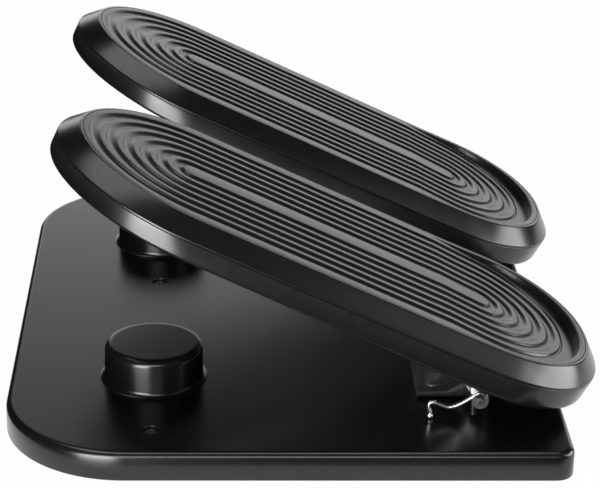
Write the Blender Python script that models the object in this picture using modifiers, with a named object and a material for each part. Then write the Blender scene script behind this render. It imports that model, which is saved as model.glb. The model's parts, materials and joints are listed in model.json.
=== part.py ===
"""Footrest with two sprung pedals on one low base.

The toe ends of the pedals point to -X and the hinges lie near the heel edge at +X.
The left pedal is at -Y and the right pedal at +Y. Lengths are in metres.
"""
import math
from collections import namedtuple

import bmesh
import bpy
from mathutils import Matrix, Vector

# Clearances and cutting allowance
FIT = 0.0003
OVERRUN = 0.002
MERGE = 0.000001

# Base tray
BASE_LENGTH = 0.300
BASE_WIDTH = 0.372
BASE_HEIGHT = 0.01575
BASE_WALL = 0.0026
TOE_CORNER_RADIUS = 0.066
HEEL_CORNER_RADIUS = 0.010
CORNER_ROOM = 0.001
TOP_EDGE_RADIUS = 0.0035
PLATE_THICKNESS = 0.0025
RIB_THICKNESS = 0.0016
RIB_ROW_SHARES = (-0.40, -0.13, 0.0, 0.13, 0.40)
RIB_COLUMN_SHARES = (0.08, 0.43, 0.62, 0.97)

# Rubber feet
FOOT_PROUD = 0.0015
FOOT_RECESS = 0.0010
FOOT_RADIUS = 0.012
FOOT_EDGE = 0.0004
FOOT_TOE_INSET = 0.048
FOOT_HEEL_INSET = 0.030

# Round travel stops under the toe ends
STOP_BEHIND_TOE_CENTRE = 0.0048
STOP_RADIUS = 0.0268
STOP_HEIGHT = 0.0209
STOP_EDGE = 0.0038
STOP_FLARE_RADIUS = 0.0300
STOP_FLARE_HEIGHT = 0.0030

# Screws
SCREW_SHAFT_RADIUS = 0.00175
BASE_SCREW_HEAD_RADIUS = 0.0038
BASE_SCREW_HEAD_HEIGHT = 0.0022
BASE_SCREW_RECESS_DEPTH = 0.0036
BASE_SCREW_POST_RADIUS = 0.0072
BASE_SCREW_SHARE = 0.171
BRACKET_SCREW_HEAD_RADIUS = 0.0034
BRACKET_SCREW_HEAD_HEIGHT = 0.0018
BRACKET_SCREW_LENGTH = 0.0090
BRACKET_SCREW_POST_RADIUS = 0.0045
PEDAL_SCREW_HEAD_RADIUS = 0.0036
PEDAL_SCREW_HEAD_HEIGHT = 0.0020
PEDAL_SCREW_LENGTH = 0.0100
HEAD_CLEARANCE = 0.0007
SCREW_HEAD_SHARES = ((0.0, 1.0), (0.62, 0.88), (1.0, 0.40), (1.0, 0.0))

# Pedal outline, measured from the hinge axis along and square to the pedal
PEDAL_SPACING_SHARE = 0.51425
PEDAL_TILT = math.radians(24.75)
HINGE_TO_HEEL_EDGE = 0.0470
HINGE_HEIGHT = 0.01125
RIM_HEIGHT = 0.0356
HEEL_CENTRE = -0.0051
STRAIGHT_RUN = 0.17385
RIM_REACH = 0.0654
RIM_HEEL_SHORTENING = 0.0073
SHOULDER_WIDTH = 0.0078
WAIST_HEEL_SHORTENING = 0.0064
WAIST_DROP = 0.0100
WAIST_LAND = 0.0008
SOLE_HEEL_TUCK = 0.0012
SOLE_TOE_DROP = 0.0210
SOLE_HEEL_DROP = 0.0230
SOLE_EDGE = 0.0018
SOLE_EDGE_SHARE = 0.3
HEEL_BLUNTNESS = 2.14
HEEL_LIFT = 0.0036
TOE_STRETCH_SHARE = 1.09

# Pedal cover, mat and shell
COVER_WALL = 0.0025
RIM_EDGE = 0.0009
RIM_EDGE_DROP_SHARE = 0.6
RIM_LIP = 0.0018
MAT_THICKNESS = 0.0030
MAT_EDGE = 0.0004
MAT_WALL = 0.0018
PIT_BAND = 0.0047
PIT_HEEL_BAND = 0.0060
PIT_SLANT = 0.0002
GROOVE_COUNT = 6
GROOVE_OUTER_BAND = 0.0073
GROOVE_HALF_WIDTH = 0.0024
GROOVE_CROWD_SHARE = 0.25
GROOVE_DEPTH = 0.0013
GROOVE_TOE_SHIFT = 0.0046
GROOVE_HEEL_SHIFT = 0.0070
DISH_LEAD = 0.0300
DISH_DEPTH = 0.0050
SHELL_WALL = 0.0025
PEDAL_POST_RADIUS = 0.0050
PEDAL_TOWER_RADIUS = 0.0065
PEDAL_TOWER_HEIGHT = 0.0030
PEDAL_SCREW_SIDE = 0.0400
PEDAL_SCREW_TOE_INSET = 0.0100
PEDAL_SCREW_DISH_INSET = 0.0110

# Hinge bracket
BRACKET_THICKNESS = 0.0020
BRACKET_HALF_WIDTH = 0.0276
BRACKET_HALF_LENGTH = 0.0310
BRACKET_BEND = 0.0030
BRACKET_LIP = 0.0002
EAR_RADIUS = 0.0060
EAR_FOOT = 0.0150
EAR_ROUND_START = math.radians(200)
EAR_ROUND_END = math.radians(-20)
BRACKET_SCREW_ALONG = 0.0220
BRACKET_SCREW_ACROSS = 0.0160

# Pin, clips, bushes and lugs
PIN_RADIUS = 0.0021
PIN_END = 0.0012
PIN_CHAMFER = 0.0004
CLIP_THICKNESS = 0.0008
CLIP_RADIUS = 0.0044
CLIP_GROOVE_DEPTH = 0.0005
CLIP_MOUTH_ANGLE = math.radians(80)
BUSH_WALL = 0.0010
BUSH_FLANGE = 0.0010
BUSH_FLANGE_THICKNESS = 0.0008
LUG_THICKNESS = 0.0060
LUG_RADIUS = 0.0070
LUG_HALF_TOP = 0.0140
LUG_ROUND_START = math.radians(190)
LUG_ROUND_END = math.radians(255)
LUG_STOP_LENGTH = 0.0070
LUG_WEB_THICKNESS = 0.0022
LUG_WEB_HEIGHT = 0.0055
LUG_WEB_PLACE = 0.0110

# Torsion springs
WIRE_DIAMETER = 0.0022
COIL_RADIUS = 0.0036
COIL_PITCH = 0.0029
COIL_OUTER_PLACE = 0.05055
COIL_WHOLE_TURNS = 3
COIL_START_ANGLE = math.radians(130)
COIL_END_ANGLE = math.radians(240)
COIL_POINTS_PER_TURN = 8
BASE_LEG_REACH = 0.0270
BASE_LEG_FOOT_SHARE = 0.97
BASE_LEG_SHARES = (
    (1.000, -0.400), (0.985, -0.190), (0.910, -0.140), (0.780, -0.250),
    (0.590, -0.400), (0.390, -0.240), (0.205, 0.045))
PEDAL_LEG_REACH = 0.0380
PEDAL_LEG_CLIMB_SHARES = ((0.170, 0.01), (0.370, 0.38), (0.560, 0.72), (0.700, 0.95))
PEDAL_LEG_FLAT_SHARES = (0.800, 0.900, 1.0)
LEG_STEPS = 2
SPRING_PEG_RADIUS = 0.0017
SPRING_PEG_BEHIND = 0.0025

# Facets
TURN_STEPS = 24
SMALL_TURN_STEPS = 12
SCREW_STEPS = 8
STADIUM_STEPS = 12
CORNER_STEPS = 8
SMALL_CORNER_STEPS = 3
EDGE_STEPS = 3
LUG_STEPS = 5
EAR_STEPS = 10
FLAT_ANGLE = math.radians(1)
SHARP_ANGLE = math.radians(35)
QUARTER_TURN = math.radians(90)
LEVEL_NORMAL_SHARE = 0.99

# Finishes: colour, roughness, metallic
FINISHES = {
    "satin_black_plastic": ((0.012, 0.012, 0.013, 1.0), 0.38, 0.0),
    "black_rubber": ((0.016, 0.016, 0.017, 1.0), 0.62, 0.0),
    "grey_rubber": ((0.045, 0.045, 0.047, 1.0), 0.70, 0.0),
    "bright_steel": ((0.62, 0.62, 0.63, 1.0), 0.22, 1.0),
    "black_steel": ((0.020, 0.020, 0.021, 1.0), 0.35, 1.0),
    "white_nylon": ((0.60, 0.59, 0.55, 1.0), 0.45, 0.0),
}

Ring = namedtuple("Ring", "side height heel dish sole shift", defaults=(0.0, 0.0, 0.0))

# Levels and places worked out from the sizes
BASE_BOTTOM = FOOT_PROUD
BASE_TOP = BASE_BOTTOM + BASE_HEIGHT
PEDAL_SPACING = BASE_WIDTH * PEDAL_SPACING_SHARE
BASE_SCREW_FROM_STOP = BASE_WIDTH * BASE_SCREW_SHARE
PLATE_TOP = BASE_BOTTOM + PLATE_THICKNESS
RIB_FOOT = PLATE_TOP + FIT
TOE_CENTRE = HEEL_CENTRE - STRAIGHT_RUN
WAIST_HEIGHT = RIM_HEIGHT - WAIST_DROP
RIM_HEEL_REACH = RIM_REACH - RIM_HEEL_SHORTENING
WAIST_REACH = RIM_REACH + SHOULDER_WIDTH
WAIST_HEEL_REACH = WAIST_REACH - WAIST_HEEL_SHORTENING
SOLE_REACH = WAIST_REACH
SOLE_HEEL_REACH = WAIST_HEEL_REACH - SOLE_HEEL_TUCK
DISH_START = HEEL_CENTRE - DISH_LEAD
POCKET_REACH = RIM_REACH - RIM_LIP
POCKET_HEEL_REACH = RIM_HEEL_REACH - RIM_LIP
PIT_REACH = RIM_REACH - PIT_BAND
PIT_HEEL_REACH = RIM_HEEL_REACH - PIT_HEEL_BAND
LEDGE_REACH = PIT_REACH + MAT_WALL + FIT
LEDGE_HEEL_REACH = PIT_HEEL_REACH + MAT_WALL + FIT
GROOVE_PITCH = (PIT_REACH - GROOVE_OUTER_BAND) / GROOVE_COUNT
DECK_HEIGHT = RIM_HEIGHT - MAT_THICKNESS - FIT
DECK_UNDERSIDE = DECK_HEIGHT - COVER_WALL
WAIST_LAND_TOP = WAIST_HEIGHT + FIT / 2 + WAIST_LAND
HEEL_OVERHANG = ((HEEL_CENTRE + WAIST_HEEL_REACH) * math.cos(PEDAL_TILT)
                 + (WAIST_LAND_TOP + HEEL_LIFT) * math.sin(PEDAL_TILT))
TOE_TO_HINGE = BASE_LENGTH - HINGE_TO_HEEL_EDGE
BASE_TOE_X = -(TOE_TO_HINGE + HEEL_OVERHANG) / 2
BASE_HEEL_X = BASE_TOE_X + BASE_LENGTH
HINGE_X = BASE_TOE_X + TOE_TO_HINGE
HINGE_Z = BASE_TOP + HINGE_HEIGHT
STOP_X = HINGE_X + TOE_CENTRE + STOP_BEHIND_TOE_CENTRE
BRACKET_UNDERSIDE = FIT - HINGE_HEIGHT
BRACKET_TOP = BRACKET_UNDERSIDE + BRACKET_THICKNESS
LUG_INNER = BRACKET_HALF_WIDTH + FIT
LUG_OUTER = LUG_INNER + LUG_THICKNESS
BUSH_BORE = PIN_RADIUS + FIT
BUSH_RADIUS = BUSH_BORE + BUSH_WALL
COIL_END_WORLD = COIL_END_ANGLE - PEDAL_TILT
COIL_TURNS = COIL_WHOLE_TURNS + (COIL_START_ANGLE - COIL_END_WORLD + math.tau) % math.tau / math.tau
COIL_INNER_PLACE = COIL_OUTER_PLACE - COIL_TURNS * COIL_PITCH
CLIP_PLACE = COIL_OUTER_PLACE + WIRE_DIAMETER / 2 + FIT + CLIP_THICKNESS / 2
PIN_HALF_LENGTH = CLIP_PLACE + CLIP_THICKNESS / 2 + PIN_END
CLIP_BORE = PIN_RADIUS - CLIP_GROOVE_DEPTH + FIT
TOWER_TOP_DROP = PEDAL_TOWER_HEIGHT + SHELL_WALL

PARTS = None
CUTTERS = None


def start_scene():
    """Empty the scene and make the two collections."""
    for obj in list(bpy.data.objects):
        bpy.data.objects.remove(obj)
    parts = bpy.data.collections.new("footrest")
    cutters = bpy.data.collections.new("cutters")
    bpy.context.scene.collection.children.link(parts)
    bpy.context.scene.collection.children.link(cutters)
    return parts, cutters


def make_finish(name):
    """Principled material for one finish."""
    colour, roughness, metallic = FINISHES[name]
    material = bpy.data.materials.new(name)
    material.use_nodes = True
    shader = material.node_tree.nodes["Principled BSDF"]
    shader.inputs["Base Color"].default_value = colour
    shader.inputs["Roughness"].default_value = roughness
    shader.inputs["Metallic"].default_value = metallic
    return material


def tool_object(name, data):
    """Working body in the cutters' collection."""
    obj = bpy.data.objects.new(name, data)
    obj.hide_render = True
    obj.display_type = "WIRE"
    CUTTERS.objects.link(obj)
    return obj


def settle(obj, flat_angle=0.0):
    """Replace an object by the welded mesh of its evaluated shape, still in its own frame."""
    bpy.context.view_layer.update()
    graph = bpy.context.evaluated_depsgraph_get()
    mesh = bpy.data.meshes.new_from_object(obj.evaluated_get(graph))
    bm = bmesh.new()
    bm.from_mesh(mesh)
    bmesh.ops.remove_doubles(bm, verts=bm.verts, dist=MERGE)
    if flat_angle:
        bmesh.ops.dissolve_limit(bm, angle_limit=flat_angle, verts=bm.verts, edges=bm.edges)
    bm.to_mesh(mesh)
    bm.free()
    result = tool_object(obj.name, mesh)
    result.matrix_world = obj.matrix_world
    bpy.data.objects.remove(obj)
    return result


def combine(target, tool, operation):
    """Apply one Boolean and put the tool body away."""
    modifier = target.modifiers.new(operation.lower(), "BOOLEAN")
    modifier.operation = operation
    modifier.object = tool
    result = settle(target)
    bpy.data.objects.remove(tool)
    return result


def moved(obj, matrix):
    """Move a body by changing its mesh, so its own frame stays at the origin."""
    obj.data.transform(matrix)
    obj.data.update()
    return obj


def joined_copies(name, make_body, places):
    """One working object that holds a body at each place."""
    bm = bmesh.new()
    for place in places:
        body = make_body()
        moved(body, Matrix.Translation(place))
        bm.from_mesh(body.data)
        bpy.data.objects.remove(body)
    mesh = bpy.data.meshes.new(name)
    bm.to_mesh(mesh)
    bm.free()
    return tool_object(name, mesh)


def arc(centre_x, centre_y, radius, start, end, steps):
    """Points on an arc, both ends included."""
    points = []
    for step in range(steps + 1):
        angle = start + (end - start) * step / steps
        points.append((centre_x + radius * math.cos(angle), centre_y + radius * math.sin(angle)))
    return points


def flat_solid(name, outline, thickness):
    """Outline in XY with half the thickness on each side."""
    curve = bpy.data.curves.new(name, "CURVE")
    curve.dimensions = "2D"
    curve.fill_mode = "BOTH"
    curve.extrude = thickness / 2
    spline = curve.splines.new("POLY")
    spline.points.add(len(outline) - 1)
    for point, (x, y) in zip(spline.points, outline):
        point.co = (x, y, 0.0, 1.0)
    spline.use_cyclic_u = True
    return settle(tool_object(name, curve), flat_angle=FLAT_ANGLE)


def upright_solid(name, outline, thickness):
    """Outline in XZ with half the thickness on each side along Y."""
    return moved(flat_solid(name, outline, thickness), Matrix.Rotation(QUARTER_TURN, 4, "X"))


def box(name, low, high):
    """Box between two corners."""
    bm = bmesh.new()
    bmesh.ops.create_cube(bm, size=1.0)
    size = Vector(high) - Vector(low)
    bmesh.ops.scale(bm, vec=size, verts=bm.verts)
    bmesh.ops.translate(bm, vec=(Vector(low) + Vector(high)) / 2, verts=bm.verts)
    mesh = bpy.data.meshes.new(name)
    bm.to_mesh(mesh)
    bm.free()
    return tool_object(name, mesh)


def cylinder(name, radius, bottom, top, steps):
    """Upright cylinder on the Z axis."""
    bm = bmesh.new()
    bmesh.ops.create_cone(bm, cap_ends=True, segments=steps, radius1=radius, radius2=radius,
                          depth=top - bottom)
    bmesh.ops.translate(bm, vec=(0.0, 0.0, (top + bottom) / 2), verts=bm.verts)
    mesh = bpy.data.meshes.new(name)
    bm.to_mesh(mesh)
    bm.free()
    return tool_object(name, mesh)


def turned(name, profile, steps):
    """Profile of radius and height, top to bottom, turned round the Z axis."""
    bm = bmesh.new()
    verts = [bm.verts.new((radius, 0.0, height)) for radius, height in profile]
    for pair in zip(verts, verts[1:]):
        bm.edges.new(pair)
    mesh = bpy.data.meshes.new(name)
    bm.to_mesh(mesh)
    bm.free()
    obj = tool_object(name, mesh)
    screw = obj.modifiers.new("turn", "SCREW")
    screw.steps = steps
    screw.render_steps = steps
    screw.use_merge_vertices = True
    screw.merge_threshold = MERGE
    return settle(obj)


def finish_part(body, name, finish, parent=None, place=(0.0, 0.0, 0.0)):
    """Turn a working body into a named part, shaded smooth with sharp edges kept."""
    part = bpy.data.objects.new(name, body.data)
    body.data.name = name
    body.data.materials.clear()
    body.data.materials.append(finish)
    body.data.shade_smooth()
    body.data.set_sharp_from_angle(angle=SHARP_ANGLE)
    bpy.data.objects.remove(body)
    PARTS.objects.link(part)
    part.parent = parent
    part.location = place
    return part


def repeat_part(first, name, finish, parent=None, place=(0.0, 0.0, 0.0)):
    """Another part that shares the first one's mesh."""
    part = bpy.data.objects.new(name, first.data.copy())
    part.data.materials.clear()
    part.data.materials.append(finish)
    PARTS.objects.link(part)
    part.parent = parent
    part.location = place
    return part


def axis_empty(name, side):
    """Empty on a pedal's hinge axis."""
    empty = bpy.data.objects.new(name, None)
    empty.location = (HINGE_X, side * PEDAL_SPACING / 2, HINGE_Z)
    PARTS.objects.link(empty)
    return empty


def base_outline(inset):
    """Tray outline with two large corners at the toe side and two small ones at the heel side."""
    toe = max(TOE_CORNER_RADIUS - inset, CORNER_ROOM)
    heel = max(HEEL_CORNER_RADIUS - inset, CORNER_ROOM)
    side = BASE_WIDTH / 2 - inset
    x_toe = BASE_TOE_X + inset
    x_heel = BASE_HEEL_X - inset
    return (arc(x_heel - heel, heel - side, heel, -QUARTER_TURN, 0.0, SMALL_CORNER_STEPS)
            + arc(x_heel - heel, side - heel, heel, 0.0, QUARTER_TURN, SMALL_CORNER_STEPS)
            + arc(x_toe + toe, side - toe, toe, QUARTER_TURN, 2 * QUARTER_TURN, CORNER_STEPS)
            + arc(x_toe + toe, toe - side, toe, 2 * QUARTER_TURN, 3 * QUARTER_TURN, CORNER_STEPS))


def base_prism(name, inset, bottom, top):
    """Upright body with the tray's outline."""
    body = flat_solid(name, base_outline(inset), top - bottom)
    return moved(body, Matrix.Translation((0.0, 0.0, (top + bottom) / 2)))


def pedal_sides():
    """Side sign of each pedal with its name."""
    return ((-1, "left"), (1, "right"))


def stop_places():
    """Centres of the two travel stops on the tray's top."""
    return [(STOP_X, side * PEDAL_SPACING / 2, BASE_TOP) for side, _ in pedal_sides()]


def base_screw_places():
    """Screw recesses, one on each side of each stop."""
    return [(x, y + hand * BASE_SCREW_FROM_STOP, z) for x, y, z in stop_places() for hand in (-1, 1)]


def bracket_screw_offsets():
    """Bracket screws, measured from the hinge axis."""
    return [(along * BRACKET_SCREW_ALONG, across * BRACKET_SCREW_ACROSS)
            for along in (-1, 1) for across in (-1, 1)]


def bracket_screw_places():
    """Bracket screws of both pedals on the tray's top."""
    return [(HINGE_X + along, side * PEDAL_SPACING / 2 + across, BASE_TOP)
            for side, _ in pedal_sides() for along, across in bracket_screw_offsets()]


def spring_peg_places():
    """Small pegs under the four coils."""
    middle = (COIL_OUTER_PLACE + COIL_INNER_PLACE) / 2
    return [(HINGE_X - SPRING_PEG_BEHIND, side * PEDAL_SPACING / 2 + hand * middle, BASE_TOP)
            for side, _ in pedal_sides() for hand in (-1, 1)]


def foot_places():
    """Centres of the rubber feet."""
    places = []
    for x in (BASE_TOE_X + FOOT_TOE_INSET, BASE_HEEL_X - FOOT_HEEL_INSET):
        inset = FOOT_TOE_INSET if x < 0 else FOOT_HEEL_INSET
        places += [(x, side * (BASE_WIDTH / 2 - inset), 0.0) for side in (-1, 1)]
    return places


def stop_profile():
    """Round stop with a soft top edge and a flared foot that sinks into the tray's top."""
    soft = arc(STOP_RADIUS - STOP_EDGE, STOP_HEIGHT - STOP_EDGE, STOP_EDGE, QUARTER_TURN, 0.0, EDGE_STEPS)
    foot = [(STOP_RADIUS + FIT, STOP_FLARE_HEIGHT),
            ((STOP_RADIUS + STOP_FLARE_RADIUS) / 2 - FIT, STOP_FLARE_HEIGHT / 3),
            (STOP_FLARE_RADIUS, -FIT)]
    end = -BASE_WALL / 2
    return [(0.0, STOP_HEIGHT)] + soft + foot + [(STOP_FLARE_RADIUS, end), (0.0, end)]


def make_ribs(name, along_x):
    """Row or column of ribs inside the tray."""
    half = RIB_THICKNESS / 2
    top = BASE_TOP - BASE_WALL / 2
    side = BASE_WIDTH / 2
    bm = bmesh.new()
    shares = RIB_ROW_SHARES if along_x else RIB_COLUMN_SHARES
    for share in shares:
        if along_x:
            middle = share * BASE_WIDTH
            rib = box(name, (BASE_TOE_X, middle - half, RIB_FOOT), (BASE_HEEL_X, middle + half, top))
        else:
            middle = BASE_TOE_X + share * BASE_LENGTH
            rib = box(name, (middle - half, -side, RIB_FOOT), (middle + half, side, top))
        bm.from_mesh(rib.data)
        bpy.data.objects.remove(rib)
    mesh = bpy.data.meshes.new(name)
    bm.to_mesh(mesh)
    bm.free()
    guard = base_prism("rib_guard", BASE_WALL / 2, BASE_BOTTOM - OVERRUN, BASE_TOP)
    return combine(tool_object(name, mesh), guard, "INTERSECT")


def make_base_shell():
    """Tray with stops, ribs, screw posts and spring pegs."""
    shell = base_prism("base_shell", 0.0, BASE_BOTTOM, BASE_TOP)
    bm = bmesh.new()
    bm.from_mesh(shell.data)
    top_edges = [edge for edge in bm.edges if all(vert.co.z > BASE_TOP - MERGE for vert in edge.verts)]
    bmesh.ops.bevel(bm, geom=top_edges, offset=TOP_EDGE_RADIUS, segments=EDGE_STEPS, profile=0.5,
                    affect="EDGES", clamp_overlap=True, material=-1)
    bm.to_mesh(shell.data)
    bm.free()
    stops = joined_copies("stops", lambda: turned("stop", stop_profile(), TURN_STEPS), stop_places())
    shell = combine(shell, stops, "UNION")
    peg_top = HINGE_HEIGHT - COIL_RADIUS - WIRE_DIAMETER / 2 - FIT
    pegs = joined_copies(
        "pegs", lambda: cylinder("peg", SPRING_PEG_RADIUS, -BASE_WALL / 2, peg_top, SCREW_STEPS),
        spring_peg_places())
    shell = combine(shell, pegs, "UNION")
    pocket = base_prism("pocket", BASE_WALL, BASE_BOTTOM - OVERRUN, BASE_TOP - BASE_WALL)
    shell = combine(shell, pocket, "DIFFERENCE")
    wells = joined_copies(
        "wells", lambda: cylinder("well", STOP_RADIUS - BASE_WALL, -BASE_WALL - OVERRUN,
                                  STOP_HEIGHT - BASE_WALL, TURN_STEPS), stop_places())
    shell = combine(shell, wells, "DIFFERENCE")
    shell = combine(shell, make_ribs("rib_rows", True), "UNION")
    shell = combine(shell, make_ribs("rib_columns", False), "UNION")
    post_top = -BASE_WALL / 2
    post_foot = RIB_FOOT - BASE_TOP
    for places, radius in ((base_screw_places(), BASE_SCREW_POST_RADIUS),
                           (bracket_screw_places(), BRACKET_SCREW_POST_RADIUS)):
        posts = joined_copies(
            "posts", lambda: cylinder("post", radius, post_foot, post_top, SMALL_TURN_STEPS), places)
        shell = combine(shell, posts, "UNION")
    shaft = SCREW_SHAFT_RADIUS + FIT
    recess = BASE_SCREW_HEAD_RADIUS + HEAD_CLEARANCE
    recesses = joined_copies(
        "recesses", lambda: cylinder("recess", recess, -BASE_SCREW_RECESS_DEPTH, OVERRUN,
                                     SMALL_TURN_STEPS), base_screw_places())
    shell = combine(shell, recesses, "DIFFERENCE")
    holes = joined_copies(
        "holes", lambda: cylinder("hole", shaft, post_foot - OVERRUN, OVERRUN, SCREW_STEPS),
        base_screw_places() + bracket_screw_places())
    return combine(shell, holes, "DIFFERENCE")


def make_base_plate():
    """Flat bottom cover with screw holes and shallow foot recesses."""
    plate = base_prism("base_plate", BASE_WALL + FIT, BASE_BOTTOM, PLATE_TOP)
    holes = joined_copies(
        "plate_holes", lambda: cylinder("hole", SCREW_SHAFT_RADIUS + FIT, BASE_BOTTOM - BASE_TOP - OVERRUN,
                                        PLATE_TOP - BASE_TOP + OVERRUN, SCREW_STEPS), base_screw_places())
    plate = combine(plate, holes, "DIFFERENCE")
    recesses = joined_copies(
        "foot_recesses", lambda: cylinder("recess", FOOT_RADIUS + FIT, BASE_BOTTOM - OVERRUN,
                                          BASE_BOTTOM + FOOT_RECESS, SMALL_TURN_STEPS), foot_places())
    return combine(plate, recesses, "DIFFERENCE")


def make_foot():
    """Rubber foot with a small chamfer where it meets the floor."""
    top = BASE_BOTTOM + FOOT_RECESS - FIT
    profile = [(0.0, top), (FOOT_RADIUS, top), (FOOT_RADIUS, FOOT_EDGE), (FOOT_RADIUS - FOOT_EDGE, 0.0),
               (0.0, 0.0)]
    return turned("foot_pad", profile, SMALL_TURN_STEPS)


def make_screw(head_radius, head_height, length):
    """Domed screw that points down, with the underside of its head at height zero."""
    head = [(head_radius * across, head_height * up) for across, up in SCREW_HEAD_SHARES]
    profile = head + [(SCREW_SHAFT_RADIUS, 0.0), (SCREW_SHAFT_RADIUS, -length), (0.0, -length)]
    return turned("screw", profile, SCREW_STEPS)


def build_base(finishes):
    """Everything that stays still under the pedals."""
    plastic = finishes["satin_black_plastic"]
    finish_part(make_base_shell(), "base_shell", plastic)
    finish_part(make_base_plate(), "base_plate", plastic)
    first = None
    for number, place in enumerate(foot_places(), start=1):
        name = f"foot_pad_{number}"
        if first is None:
            first = finish_part(make_foot(), name, finishes["grey_rubber"], place=place)
        else:
            repeat_part(first, name, finishes["grey_rubber"], place=place)
    head_seat = -BASE_SCREW_RECESS_DEPTH + FIT
    length = BASE_HEIGHT + head_seat - PLATE_THICKNESS / 2
    first = None
    for number, (x, y, z) in enumerate(base_screw_places(), start=1):
        name = f"base_screw_{number}"
        place = (x, y, z + head_seat)
        if first is None:
            body = make_screw(BASE_SCREW_HEAD_RADIUS, BASE_SCREW_HEAD_HEIGHT, length)
            first = finish_part(body, name, finishes["black_steel"], place=place)
        else:
            repeat_part(first, name, finishes["black_steel"], place=place)


def dish_drop(x):
    """How far the deck sinks towards the heel."""
    run = DISH_LEAD + PIT_HEEL_REACH
    return DISH_DEPTH * max(0.0, x - DISH_START) / run


def heel_lift(x):
    """How far the whole pedal curves up towards its heel tip."""
    share = max(0.0, x - DISH_START) / (DISH_LEAD + WAIST_HEEL_REACH)
    return HEEL_LIFT * share * share


def sole_height(x):
    """Height of the shell's flat bottom, which falls slightly from toe to heel."""
    share = (x - TOE_CENTRE) / STRAIGHT_RUN
    return RIM_HEIGHT - SOLE_TOE_DROP - share * (SOLE_HEEL_DROP - SOLE_TOE_DROP)


def blunt_heel(vert, ring):
    """Stretch a point of the round heel end onto the blunter real outline."""
    along = (vert.co.x - HEEL_CENTRE) / ring.side
    across = vert.co.y / ring.side
    total = abs(along) ** HEEL_BLUNTNESS + abs(across) ** HEEL_BLUNTNESS
    reach = total ** (-1 / HEEL_BLUNTNESS)
    vert.co.x = HEEL_CENTRE + along * reach * ring.heel
    vert.co.y = across * reach * ring.side


def stadium_solid(name, rings):
    """Closed solid made by taking a chain of rings once round the pedal's outline.

    A ring's side is its distance from the centre line, and its heel is its reach at the heel tip.
    The dish, sole and shift shares say how much it follows those three shapes.
    """
    bm = bmesh.new()
    layer = bm.verts.layers.int.new("ring")
    chain = []
    for index, ring in enumerate(rings):
        vert = bm.verts.new((TOE_CENTRE, -ring.side, ring.height))
        vert[layer] = index
        chain.append(vert)
    front = chain + [bm.edges.new(pair) for pair in zip(chain, chain[1:])]

    def half_turn(geometry, centre):
        turned_part = bmesh.ops.spin(bm, geom=geometry, cent=(centre, 0.0, 0.0), axis=(0.0, 0.0, 1.0),
                                     angle=-math.pi, steps=STADIUM_STEPS)
        return turned_part["geom_last"]

    def straight(geometry, stations):
        for start, end in zip(stations, stations[1:]):
            edges = [item for item in geometry if isinstance(item, bmesh.types.BMEdge)]
            geometry = bmesh.ops.extrude_edge_only(bm, edges=edges)["geom"]
            verts = [item for item in geometry if isinstance(item, bmesh.types.BMVert)]
            bmesh.ops.translate(bm, vec=(end - start, 0.0, 0.0), verts=verts)
            geometry = [item for item in geometry if not isinstance(item, bmesh.types.BMFace)]
        return geometry

    middle = DISH_START + DISH_LEAD / 2
    stations = (TOE_CENTRE, DISH_START, middle, HEEL_CENTRE)
    front = half_turn(front, TOE_CENTRE)
    front = straight(front, stations)
    front = half_turn(front, HEEL_CENTRE)
    straight(front, stations[::-1])
    bmesh.ops.remove_doubles(bm, verts=bm.verts, dist=MERGE)
    for vert in bm.verts:
        ring = rings[vert[layer]]
        if ring.side > 0 and vert.co.x > HEEL_CENTRE + MERGE:
            blunt_heel(vert, ring)
        if vert.co.x > HEEL_CENTRE - MERGE:
            vert.co.x -= ring.shift * GROOVE_HEEL_SHIFT
        if vert.co.x < TOE_CENTRE + MERGE:
            beyond = (vert.co.x - TOE_CENTRE) * TOE_STRETCH_SHARE
            vert.co.x = TOE_CENTRE + beyond - ring.shift * GROOVE_TOE_SHIFT
        vert.co.z += heel_lift(vert.co.x) - ring.dish * dish_drop(vert.co.x)
        vert.co.z += ring.sole * (sole_height(vert.co.x) - RIM_HEIGHT + SOLE_TOE_DROP)
    bmesh.ops.recalc_face_normals(bm, faces=bm.faces)
    mesh = bpy.data.meshes.new(name)
    bm.to_mesh(mesh)
    bm.free()
    return tool_object(name, mesh)


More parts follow.
